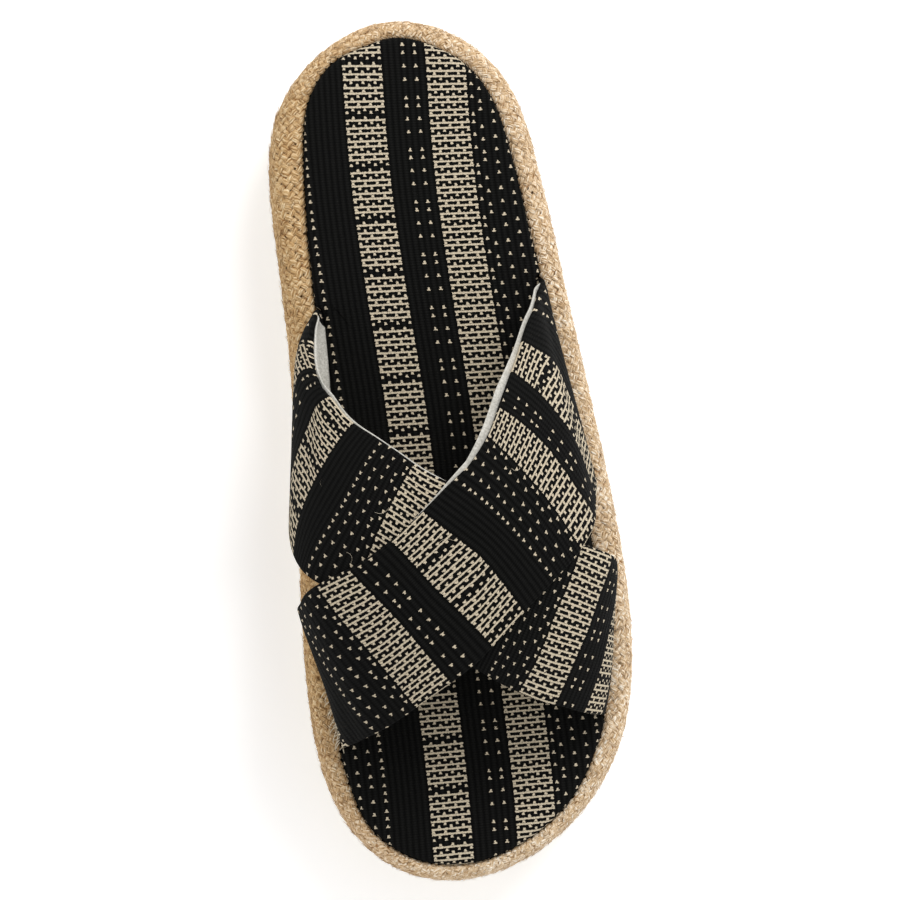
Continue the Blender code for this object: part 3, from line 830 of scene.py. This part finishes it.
def swept_cord_tree(name):
    """Tree that sweeps an oval section along chains of edges. Each chain's points carry skin_normal, which
    way is out, wave, how far the point lies out or in as a share of Wave, and girth, a share of the
    section."""
    tree = bpy.data.node_groups.new(name, "GeometryNodeTree")
    node = partial(add, tree)
    tree.interface.new_socket("Geometry", in_out="INPUT", socket_type="NodeSocketGeometry")
    sockets = {}
    for label, kind in (
        ("Width", "NodeSocketFloat"),
        ("Thickness", "NodeSocketFloat"),
        ("Wave", "NodeSocketFloat"),
        ("Sides", "NodeSocketInt"),
        ("Material", "NodeSocketMaterial"),
    ):
        sockets[label] = tree.interface.new_socket(label, in_out="INPUT", socket_type=kind).identifier
    tree.interface.new_socket("Geometry", in_out="OUTPUT", socket_type="NodeSocketGeometry")
    given = node("NodeGroupInput", (), None)
    normal, wave, girth = (
        node("GeometryNodeInputNamedAttribute", {"Name": label}, data_type=kind)
        for label, kind in (("skin_normal", "FLOAT_VECTOR"), ("wave", "FLOAT"), ("girth", "FLOAT"))
    )
    rise = node(MATH, (wave, given["Wave"]), operation="MULTIPLY")
    offset = node(VECTOR_MATH, {0: normal, "Scale": rise}, operation="SCALE")
    moved = node("GeometryNodeSetPosition", {"Geometry": given["Geometry"], "Offset": offset})
    curve = node("GeometryNodeMeshToCurve", {"Mesh": moved})
    curve = node("GeometryNodeSetCurveNormal", {"Curve": curve, "Normal": normal}, mode="FREE")
    circle = node("GeometryNodeCurvePrimitiveCircle", {"Resolution": given["Sides"], "Radius": 0.5})
    # The turn gives a cord of six sides a flat top.
    circle = node("GeometryNodeTransform", {"Geometry": circle, "Rotation": (0, 0, math.pi / 6)})
    size = node("ShaderNodeCombineXYZ", (given["Thickness"], given["Width"], 1.0))
    oval = node("GeometryNodeTransform", {"Geometry": circle, "Scale": size})
    # across runs from -1 to 1 over the cord's width, on its top and back again on its underside.
    corner = node("ShaderNodeSeparateXYZ", (node("GeometryNodeInputPosition"),), "Y")
    half = node(MATH, (given["Width"], 0.5), operation="MULTIPLY")
    across = node(MATH, (corner, half), operation="DIVIDE")
    named = {"Geometry": oval, "Name": "across", "Value": across}
    oval = node("GeometryNodeStoreNamedAttribute", named, data_type="FLOAT", domain="POINT")
    section = {"Curve": curve, "Profile Curve": oval, "Scale": girth, "Fill Caps": True}
    done = node("GeometryNodeSetShadeSmooth", {"Geometry": node("GeometryNodeCurveToMesh", section)})
    done = node("GeometryNodeRealizeInstances", {"Geometry": done})
    done = node("GeometryNodeSetMaterial", {"Geometry": done, "Material": given["Material"]})
    node("NodeGroupOutput", (done,), None)
    return tree, sockets


def apply_nodes(piece, tree, sockets, values):
    """Runs a tree on a piece and leaves the result as its plain mesh."""
    modifier = piece.modifiers.new(tree.name, "NODES")
    modifier.node_group = tree
    for label, value in values.items():
        modifier[sockets[label]] = value
    depsgraph = bpy.context.evaluated_depsgraph_get()
    made = piece.evaluated_get(depsgraph)
    mesh = bpy.data.meshes.new_from_object(made, preserve_all_data_layers=True, depsgraph=depsgraph)
    piece.modifiers.remove(modifier)
    old = piece.data
    piece.data = mesh
    mesh.name = piece.name
    bpy.data.meshes.remove(old)
    return piece


CORD_TREE, CORD_SOCKETS = swept_cord_tree("swept cord")
# A cord's points, with one value for all of them or one each: the way out, girth, wave and tint.
Cord = namedtuple("Cord", "points normal girth wave tint", defaults=(0.0, 0.0))


def swept(name, cords, width, thickness, sides, material, wave=0.0):
    """One piece of all the cords."""
    counts = [len(cord.points) for cord in cords]
    starts = np.cumsum([0] + counts)
    edges = [(i, i + 1) for start, count in zip(starts, counts) for i in range(start, start + count - 1)]
    piece = new_piece(name, np.concatenate([cord.points for cord in cords]), [], None, edges=edges)
    attributes = piece.data.attributes
    normals = np.concatenate([np.broadcast_to(cord.normal, cord.points.shape) for cord in cords])
    skin_normal = attributes.new("skin_normal", "FLOAT_VECTOR", "POINT")
    skin_normal.data.foreach_set("vector", normals.astype(np.float32).ravel())
    fields = {label: [getattr(cord, label) for cord in cords] for label in ("wave", "girth", "tint")}
    fields["along"] = [lengths(cord.points) for cord in cords]
    for label, values in fields.items():
        spread = np.concatenate([np.broadcast_to(value, count) for value, count in zip(values, counts)])
        attributes.new(label, "FLOAT", "POINT").data.foreach_set("value", spread.astype(np.float32))
    sizes = {"Width": width * MM, "Thickness": thickness * MM, "Wave": wave * MM}
    return apply_nodes(piece, CORD_TREE, CORD_SOCKETS, {**sizes, "Sides": sides, "Material": material})


# Pieces.

SKIN_STEPS, SKIN_POINTS = 96, 720  # grid on which the yarns lie
GROUND_STEPS, SOLE_POINTS = 40, 360


def platform_section():
    """Smooth section of the jute cloth: arc length, then inset, rim share, height share and rise."""
    rows = np.array(PLATFORM_SIDE)
    for row, lift in LIP_LIFT:
        rows[row, 3] += lift
    x = rows[:, 0] + rows[:, 1] * RIM_NOMINAL
    z = rows[:, 2] * HEIGHT_NOMINAL + rows[:, 3]
    return np.column_stack([lengths(np.column_stack([x, z])), rows])


def cloth_rings(runs, count):
    """Rings of the jute cloth at runs up its section, with count points each, and their outward normals."""
    section = platform_section()
    loop = outline(count)
    normal, rim = outward(loop), lip_vectors(loop)
    rings = []
    for at in runs:
        inset, rim_share, height_share, rise = (through(section, at, column) for column in range(1, 5))
        edge = loop - inset * normal - rim_share * rim
        rings.append(ring(edge, joint_z(edge[:, 1]) + height_share * jute_height(edge[:, 1]) + rise))
    rings = np.array(rings)
    around = np.roll(rings, -1, axis=1) - np.roll(rings, 1, axis=1)
    out = unit(np.cross(np.gradient(rings, axis=0), around))
    if (out[len(runs) // 3, :, :2] * normal).sum() < 0:
        out = -out
    return rings, out


class Skin:
    """The jute cloth's surface up to the lip, read by run up the section and by run round the outline."""

    def __init__(self):
        self.lip = platform_section()[LIP_ROW, 0]
        self.grid, self.normal = cloth_rings(np.linspace(0, self.lip, SKIN_STEPS), SKIN_POINTS)
        loop = outline(SKIN_POINTS)
        self.length = np.linalg.norm(np.roll(loop, -1, axis=0) - loop, axis=1).sum()

    def read(self, field, up, around):
        i = np.clip(up / self.lip * (SKIN_STEPS - 1), 0, SKIN_STEPS - 1.001)
        j = (around / self.length % 1.0) * SKIN_POINTS
        i0, j0 = i.astype(int), j.astype(int) % SKIN_POINTS
        a, b = (i - i0)[:, None], (j - np.floor(j))[:, None]
        j1 = (j0 + 1) % SKIN_POINTS
        lower = field[i0, j0] * (1 - b) + field[i0, j1] * b
        upper = field[i0 + 1, j0] * (1 - b) + field[i0 + 1, j1] * b
        return lower * (1 - a) + upper * a

    def lay(self, up, around, height):
        """Points at a height over the surface, and the way out at each."""
        out = unit(self.read(self.normal, up, around))
        return self.read(self.grid, up, around) + np.reshape(height, (-1, 1)) * out, out


def make_jute(skin, yarn, ground):
    """Jute cloth on the bias: a brown sheet of painted shade, then two sets of yarns that pass over and under
    each other.
    """
    rings, out = cloth_rings(np.linspace(0, platform_section()[-1, 0], GROUND_STEPS), SOLE_POINTS)
    # The ground is a sheet of painted shade that shows dark through the gaps between the yarns.
    pieces = [loft("platform_gap_shade", rings - BASE_SINK * out, ground)]
    rng = np.random.default_rng(SEED)
    count = 2 * round(skin.length / (YARN_PITCH * math.sqrt(2)) / 2)
    step = skin.length / count
    rise = np.arange(0, skin.lip + 1e-6, step / 2 / CROSSING_STEPS)
    knots = np.linspace(0, skin.lip, YARN_KNOTS)
    over = np.cos(math.pi * rise / (step / 2))
    neck = YARN_NECK + (1 - YARN_NECK) * over**2
    for name, lean in (("jute_warp", 1), ("jute_weft", -1)):
        yarns = []
        for k in range(count):
            around = k * step + lean * rise + np.interp(rise, knots, rng.normal(0, YARN_WANDER, YARN_KNOTS))
            wave = lean * over * np.interp(rise, knots, rng.uniform(*YARN_DIVES, YARN_KNOTS))
            girth = neck * np.interp(rise, knots, rng.normal(1.0, YARN_UNEVEN, YARN_KNOTS))
            yarns.append(Cord(*skin.lay(rise, around, -YARN_SINK), girth, wave, rng.uniform()))
        pieces.append(swept(name, yarns, YARN_WIDTH, YARN_THICKNESS, YARN_SIDES, yarn, YARN_WAVE))
    return pieces + [make_fuzz(skin, yarn, rng)]


def make_fuzz(skin, yarn, rng):
    """Loose bast fibres that lie on the jute cloth and stand off it at one end."""
    t = np.linspace(0, 1, len(FUZZ_TAPER))
    fibres = []
    for _ in range(FUZZ_COUNT):
        length = rng.uniform(*FUZZ_LENGTH)
        heading = rng.choice((-1, 1)) * math.pi / 4 + rng.normal(0, FUZZ_ASTRAY)
        curl = rng.normal(0, FUZZ_CURL)
        rise = rng.uniform(FUZZ_FOOT, skin.lip - FUZZ_TOP) + length * t * np.sin(heading + curl * t)
        around = rng.uniform(0, skin.length) + length * t * np.cos(heading + curl * t)
        stand = rng.uniform(*FUZZ_STAND) * t**2 - FUZZ_SINK
        laid = skin.lay(np.clip(rise, FUZZ_LOWEST, skin.lip), around, stand)
        fibres.append(Cord(*laid, FUZZ_TAPER, 1.0, rng.uniform()))
    return swept("jute_fuzz", fibres, FUZZ_WIDTH, FUZZ_WIDTH, FUZZ_SIDES, yarn)


# Insole edge, from under the rim to the top: inset, rise over the rim.
INSOLE_EDGE = (
    (-0.2, -5.0),
    (-0.3, -1.5),
    (-0.2, 0.2),
    (0.1, 0.9),
    (0.7, 1.5),
    (1.6, 1.85),
    (2.8, 2.0),
    (4.2, 2.1),
)
INSOLE_CROWN = 2.6
INSOLE_POINTS, INSOLE_RINGS, INSOLE_MIDDLE = 560, 14, 0.06  # the innermost ring is this share of the edge
NOTCH_DEPTH, NOTCH_MARGIN, NOTCH_RAMP = STRAP_WALL - FOOT_THIN + 0.1, 0.4, 1.6
NOTCH_FADE = 8  # power by which the notches fade out inwards


def notch_depth(loop):
    """How far the insole is notched for the four strap ends, at each point of its edge."""
    y = loop[:, 1]
    depth = np.zeros(len(loop))
    for is_medial, row in ((True, STRAP_EDGES[0]), (False, STRAP_EDGES[-1])):
        for front, rear in ((UNDER_FRONT, UNDER_REAR), (OVER_FRONT, OVER_REAR)):
            before = smoothstep((y - row[front] + NOTCH_MARGIN + NOTCH_RAMP) / NOTCH_RAMP)
            after = smoothstep((row[rear] + NOTCH_MARGIN + NOTCH_RAMP - y) / NOTCH_RAMP)
            on_side = (loop[:, 0] < 0) == is_medial
            depth = np.maximum(depth, np.where(on_side, np.minimum(before, after), 0.0))
    return NOTCH_DEPTH * depth


def make_insole(cloth):
    """Padded insole covered in the striped cloth, tucked in at the rim and notched for the strap ends."""
    loop = outline(INSOLE_POINTS)
    wall = loop - lip_vectors(loop)
    normal = outward(wall)
    notch = notch_depth(wall)
    height = rim_z(wall[:, 1])
    rings = [ring(wall - (inset + notch)[:, None] * normal, height + rise) for inset, rise in INSOLE_EDGE]
    edge = rings[-1][:, :2]
    for share in np.linspace(1, INSOLE_MIDDLE, INSOLE_RINGS)[1:]:
        loop = (edge + (1 - share**NOTCH_FADE) * notch[:, None] * normal) * share
        rise = INSOLE_CROWN + (INSOLE_EDGE[-1][1] - INSOLE_CROWN) * share**2
        rings.append(ring(loop, rim_z(loop[:, 1]) + rise))
    rings = np.array(rings)
    # The cloth folds down over the edge, so its pattern runs on by the length of the fold.
    fold = np.hypot(*np.diff(np.array(INSOLE_EDGE), axis=0).T)
    fold = np.append(np.cumsum(fold[::-1])[::-1], 0.0)
    flat = rings[..., :2].copy()
    flat[: len(fold)] = edge + fold[:, None, None] * normal
    x, y = flat[..., 0], flat[..., 1]
    ahead, slope = (through(INSOLE_ROWS, y, column) for column in (1, 2))
    row = (INSOLE_ROW_Y - y - slope * (x - ROW_SLOPE_X)) / ROW + ahead
    uv = np.stack([(x - INSOLE_RIB_X - through(INSOLE_BEND, y)) / RIB, row], axis=-1)
    return loft("insole_cloth", rings, cloth, np.concatenate([uv, uv[:, :1]], axis=1))


FEET_POINTS = 768
STRAP_STEPS, STRAP_COLUMNS = 161, 61
TAIL_DROPS = np.linspace(5.0, 0.5, 6)  # how far the straight ends' rows lie under the feet
ROUND_STEPS = 40  # of a length measured round a strap
EDGE_STEPS, BAND_COLUMNS = 6, 44
CLOTH_FROM, LINING_TO, LINING_INSET = 0.8, 0.95, 3.0  # heights of the layers, and the lining's front edge


def strap_points(u, y, lift, raised=0.0):
    """Points at u round the foot and y along it, raised over a strap's inner surface."""
    wall = tray_wall(FEET_POINTS)
    feet = wall - (STRAP_WALL + GAP) * outward(wall)
    rise = raised + lift * (1 - smoothstep((abs(u) - LIFT_FULL) / (LIFT_NONE - LIFT_FULL)))
    medial, lateral = widths_at(feet, y)
    middle, foot = (medial + lateral) / 2, (lateral - medial) / 2
    overhang = np.maximum(np.where(u < 0, through(LAST, y, 2), through(LAST, y, 3)), 0.0)
    ridge = through(LAST, y, 1)
    sink = np.sqrt(1 - (foot / (foot + overhang)) ** 2)
    half_height = ridge / (1 + sink)
    angle = np.pi / 2 - (np.pi / 2 + np.arcsin(sink)) * abs(u)
    x = middle + np.where(u < 0, -1, 1) * (foot + overhang + rise) * np.cos(angle)
    z = rim_z(y) + STRAP_RISE + ridge - half_height + (half_height + rise) * np.sin(angle)
    return np.stack([x, y, z], axis=-1)


def strap_y(u, w, front, rear):
    return through(STRAP_EDGES, u, front) * (1 - w) + through(STRAP_EDGES, u, rear) * w


def strap_grid(front, rear, lift):
    """Inner surface of a strap: u along it, points across it from front to rear, and its outward normals."""
    u = np.linspace(-1, 1, STRAP_STEPS)
    y = strap_y(u[:, None], np.linspace(0, 1, STRAP_COLUMNS)[None, :], front, rear)
    grid = strap_points(np.broadcast_to(u[:, None], y.shape), y, lift)
    # The ends go straight down into the tray.
    tails = []
    for foot, drops in ((grid[0], TAIL_DROPS), (grid[-1], TAIL_DROPS[::-1])):
        tail = np.repeat(foot[None], len(drops), axis=0)
        tail[..., 2] = rim_z(foot[:, 1])[None] + STRAP_RISE - drops[:, None]
        tails.append(tail)
    grid = np.concatenate([tails[0], grid, tails[1]])
    u = np.pad(u, len(TAIL_DROPS), mode="edge")
    out = unit(np.cross(np.gradient(grid, axis=0), np.gradient(grid, axis=1)))
    if out[len(u) // 2, STRAP_COLUMNS // 2, 2] < 0:
        out = -out
    return u, grid, out


def rib_reader(stripes, front, rear, lift):
    """Function that gives the rib number at u and y. A thin plate, laid over the strap's cloth when it is
    flat, bends through the places whose rib is known."""
    rib, u, w = np.array([(rib, u, w) for rib, places in stripes for u, w in places]).T

    def flat(u, y):
        """The cloth's length round the strap, from its ridge to u, and y."""
        share = np.linspace(0, 1, ROUND_STEPS)
        at_y = np.repeat(y[:, None], ROUND_STEPS, axis=1)
        points = strap_points(u[:, None] * share, at_y, lift, STRAP_WALL)
        length = np.linalg.norm(np.diff(points, axis=1), axis=2).sum(axis=1)
        return np.column_stack([np.sign(u) * length, y]) / PLATE_SCALE

    def bends(at):
        away = np.maximum(np.linalg.norm(at[:, None] - known[None], axis=2), 1e-9)
        return np.column_stack([away**2 * np.log(away), np.ones(len(at)), at])

    known = flat(u, strap_y(u, w, front, rear))
    n = len(known)
    system = np.zeros((n + 3, n + 3))
    system[:n] = bends(known)
    system[n:, :n] = system[:n, n:].T
    system[:n, :n] += PLATE_STIFFNESS * np.eye(n)
    weights = np.linalg.solve(system, np.append(rib, np.zeros(3)))
    return lambda u, y: bends(flat(u, y)) @ weights


def strap_shell(name, strap, low, high, front_inset, rear_insets, material, rib_at=None, first_row=0.0):
    """Closed band between two heights over a strap's inner surface, with round edges. Insets are in mm."""
    u, grid, out = strap
    radius = (high - low) / 2
    turn = np.linspace(0, np.pi / 2, EDGE_STEPS)
    inner = np.linspace(0, 1, BAND_COLUMNS)[1:-1]
    # On the straight ends u no longer grows, and the ribs run on by length.
    length = lengths(grid[:, STRAP_COLUMNS // 2])
    tail = len(TAIL_DROPS)
    beyond = np.where(u <= -1, length[tail] - length, np.where(u >= 1, length[-tail - 1] - length, 0.0)) / RIB
    rings, uv = [], []
    for i in range(len(u)):
        run = lengths(grid[i])
        start, stop = front_inset, run[-1] - rear_insets[i]
        flat = start + radius + (stop - start - 2 * radius) * inner
        near = start + radius * (1 - np.cos(turn))
        far = stop - radius * (1 - np.cos(turn[::-1]))
        place = np.concatenate([near, flat, far])
        half = radius * np.concatenate([np.sin(turn), np.ones(len(flat)), np.sin(turn[::-1])])
        at = np.concatenate([place, place[-2:0:-1]])
        height = (low + high) / 2 + np.concatenate([half, -half[-2:0:-1]])
        at_edge = 1 - smoothstep(np.minimum(at, run[-1] - at) / EDGE_WAY)
        at_foot = smoothstep((abs(u[i]) - FOOT_FROM) / (1 - FOOT_FROM))
        thin = np.maximum(EDGE_THIN * at_edge, FOOT_THIN * at_foot)
        height = thin + height * (STRAP_WALL - thin) / STRAP_WALL
        inside = np.clip(at, 0.0, run[-1])
        base, up = (
            np.stack([np.interp(inside, run, field[i, :, axis]) for axis in range(3)], axis=1)
            for field in (grid, out)
        )
        side = unit(np.where((at < 0.0)[:, None], grid[i, 0] - grid[i, 1], grid[i, -1] - grid[i, -2]))
        base = base + side * np.abs(at - inside)[:, None]
        rings.append(base + unit(up) * height[:, None])
        if rib_at:
            ribs = rib_at(np.full(len(at), u[i]), base[:, 1]) + beyond[i]
            pair = np.column_stack([ribs, first_row + STRAP_ROWS * at / run[-1]])
            uv.append(np.concatenate([pair, pair[:1]]))
    return loft(name, rings, material, uv if rib_at else None)


def make_straps(cloth, lining):
    """Two padded bands of striped cloth with a suede lining. The over strap lies on the under strap."""
    pieces = []
    for name, front, rear, lift, stripes, first_row, trim in (
        ("under_strap", UNDER_FRONT, UNDER_REAR, 0.0, UNDER_STRIPES, UNDER_FIRST_ROW, UNDER_TRIM),
        ("over_strap", OVER_FRONT, OVER_REAR, OVER_LIFT, OVER_STRIPES, OVER_FIRST_ROW, OVER_TRIM),
    ):
        strap = strap_grid(front, rear, lift)
        cloth_trim, lining_trim = (through(trim, strap[0], column) for column in (1, 2))
        ribs = rib_reader(stripes, front, rear, lift)
        pieces += [
            strap_shell(name, strap, CLOTH_FROM, STRAP_WALL, 0.0, cloth_trim, cloth, ribs, first_row),
            strap_shell(name + "_lining", strap, 0.0, LINING_TO, LINING_INSET, lining_trim, lining),
        ]
    return pieces


def make_threads(thread):
    """Frayed cream ends at the over strap's medial foot, and a few lint curls on both straps."""
    rng = np.random.default_rng(SEED)
    t = np.linspace(0, 1, len(FRAY_TAPER))
    threads = []
    for start_y in np.linspace(*FRAY_Y, FRAY_COUNT):
        start = strap_points(np.array([rng.uniform(*FRAY_U)]), np.array([start_y]), OVER_LIFT, STRAP_WALL)[0]
        heading = np.array([rng.normal(*FRAY_HEADING_X), rng.normal(*FRAY_HEADING_Y), 0.0])
        heading = unit(heading) * rng.uniform(*FRAY_LENGTH)
        bow = np.array([-heading[1], heading[0], 0.0]) * rng.normal(0, FRAY_CURL)
        points = start + t[:, None] * heading + (t * (1 - t))[:, None] * bow
        points[:, 2] += FRAY_ARCH * np.sin(np.pi * t) - FRAY_FALL * t
        threads.append(Cord(points, UP, FRAY_TAPER))
    for u, y, lift in LINT:
        turn, length = rng.uniform(0, 2 * math.pi), rng.uniform(*LINT_LENGTH)
        sweep = turn + rng.uniform(*LINT_CURL) * t
        at_y = y + length * (np.sin(sweep) - np.sin(turn)) / 2
        at_u = u + length * (np.cos(sweep) - np.cos(turn)) / 2 / STRAP_HALF_LENGTH
        threads.append(Cord(strap_points(at_u, at_y, lift, STRAP_WALL + LINT_HEIGHT), UP, LINT_GIRTH))
    return swept("loose_threads", threads, THREAD_WIDTH, THREAD_WIDTH, THREAD_SIDES, thread)


# Rounded end of a tread rib: way from its tip, share of its section.
RIB_END = np.array(((0.0, 0.12), (0.35, 0.45), (1.0, 0.75), (2.0, 0.93), (3.5, 1.0)))
RIB_SPANS, RIB_SIDES = 8, 20


def make_outsole(rubber):
    """Rubber slab with rolled edges, and round ribs across its tread."""
    loop = outline(SOLE_POINTS)
    normal = outward(loop)
    rings = []
    for inset, rise, drop in OUTSOLE_SIDE:
        edge = loop - inset * normal
        y = edge[:, 1]
        z = joint_z(y) - drop if rise is None else underside_z(y) + rise
        if rings:
            z = np.minimum(z, rings[-1][:, 2] - OUTSOLE_STEP)
        rings.append(ring(edge, z))
    slab = loft("outsole_slab", rings, rubber)
    ends = loop - RIB_INSET * normal
    way, share = RIB_END.T
    ribs = []
    for k in range(RIB_COUNT):
        y = RIB_FIRST_Y + k * RIB_PITCH
        medial, lateral = widths_at(ends, y)
        x = np.concatenate([medial + way, np.linspace(medial, lateral, RIB_SPANS)[1:-1], lateral - way])
        x = np.sort(x)
        girth = np.minimum(np.interp(x - medial, way, share), np.interp(lateral - x, way, share))
        points = np.column_stack([x, np.full(len(x), y), np.full(len(x), UNDERSIDE_Z + toe_spring(y))])
        ribs.append(Cord(points, DOWN, girth))
    return [slab, swept("outsole_ribs", ribs, RIB_WIDTH, 2 * UNDERSIDE_Z, RIB_SIDES, rubber)]


# Studio, in metres.

CAMERA_TARGET = Vector((0.0024, -0.0011, 0.020))
CAMERA_DISTANCE = 1.26
TOE_TILT, MEDIAL_TILT, ROLL = math.radians(5.0), math.radians(4.0), math.radians(6.6)
SENSOR_WIDTH = 36.0  # mm
FRAME_WIDTH = 900 * 0.305 * MM  # what the picture's width spans at the target
FLOOR_HALF, FLOOR_Z = 3.0, -0.00005
PAPER_GLOW, SKY_STRENGTH = 0.24, 0.85
KEY_PLACE, KEY_AIM = Vector((0.75, 1.05, 1.25)), Vector((0.0, 0.0, 0.03))
KEY_SIZE, KEY_WATTS = 1.0, 18.0


def make_camera():
    """Camera above the slipper, a little towards the toe and the medial side, rolled as in the photograph."""
    back = Vector((-math.sin(MEDIAL_TILT), -math.sin(TOE_TILT), 0.0))
    back.z = math.sqrt(1 - back.length_squared)
    up = Vector((0, 1, 0))
    up = (up - back * up.dot(back)).normalized()
    right = up.cross(back)
    up, right = up * math.cos(ROLL) + right * math.sin(ROLL), right * math.cos(ROLL) - up * math.sin(ROLL)
    data = bpy.data.cameras.new("camera")
    data.sensor_width = SENSOR_WIDTH
    data.lens = SENSOR_WIDTH * CAMERA_DISTANCE / FRAME_WIDTH
    data.clip_start, data.clip_end = 0.05, 20.0
    camera = bpy.data.objects.new("camera", data)
    turn = Matrix((right, up, back)).transposed().to_4x4()
    camera.matrix_world = Matrix.Translation(CAMERA_TARGET + back * CAMERA_DISTANCE) @ turn
    bpy.context.scene.collection.objects.link(camera)
    bpy.context.scene.camera = camera


def make_studio():
    """White paper floor, an even white surround and one large soft light from the heel's lateral side."""
    white = linear("ffffff")
    paper, _ = new_material(
        "white studio paper",
        Roughness=0.9,
        Specular_IOR_Level=0.1,
        Base_Color=linear("fafafa"),
        Emission_Color=white,
        Emission_Strength=PAPER_GLOW,
    )
    corners = np.array([(-1, -1), (1, -1), (1, 1), (-1, 1)]) * FLOOR_HALF
    new_piece("floor", ring(corners, FLOOR_Z) / MM, [(0, 1, 2, 3)], paper)
    world = bpy.data.worlds.new("studio")
    bpy.context.scene.world = world
    world.use_nodes = True
    surround = world.node_tree.nodes["Background"].inputs
    surround["Color"].default_value = white
    surround["Strength"].default_value = SKY_STRENGTH
    lamp = bpy.data.lights.new("key", "AREA")
    lamp.shape, lamp.size, lamp.energy = "DISK", KEY_SIZE, KEY_WATTS
    light = bpy.data.objects.new("key", lamp)
    light.location = KEY_PLACE
    light.rotation_euler = (KEY_AIM - KEY_PLACE).to_track_quat("-Z", "Y").to_euler()
    bpy.context.scene.collection.objects.link(light)
    bpy.context.scene.view_settings.view_transform = "Standard"


def main():
    cloth, lining = woven_stripes(), napped_lining()
    # ground is the sheet of painted shade under the jute yarns.
    yarn, ground, rubber = jute_yarn(), jute_gap_shade(), ivory_rubber()
    threads = make_threads(cotton_thread())
    groups = (
        ("platform", make_jute(Skin(), yarn, ground)),
        ("insole", [make_insole(cloth)]),
        ("upper", make_straps(cloth, lining) + [threads]),
        ("outsole", make_outsole(rubber)),
    )
    for node, pieces in groups:
        for piece in pieces:
            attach(piece, "root")
            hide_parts(node)
    make_studio()
    make_camera()


main()
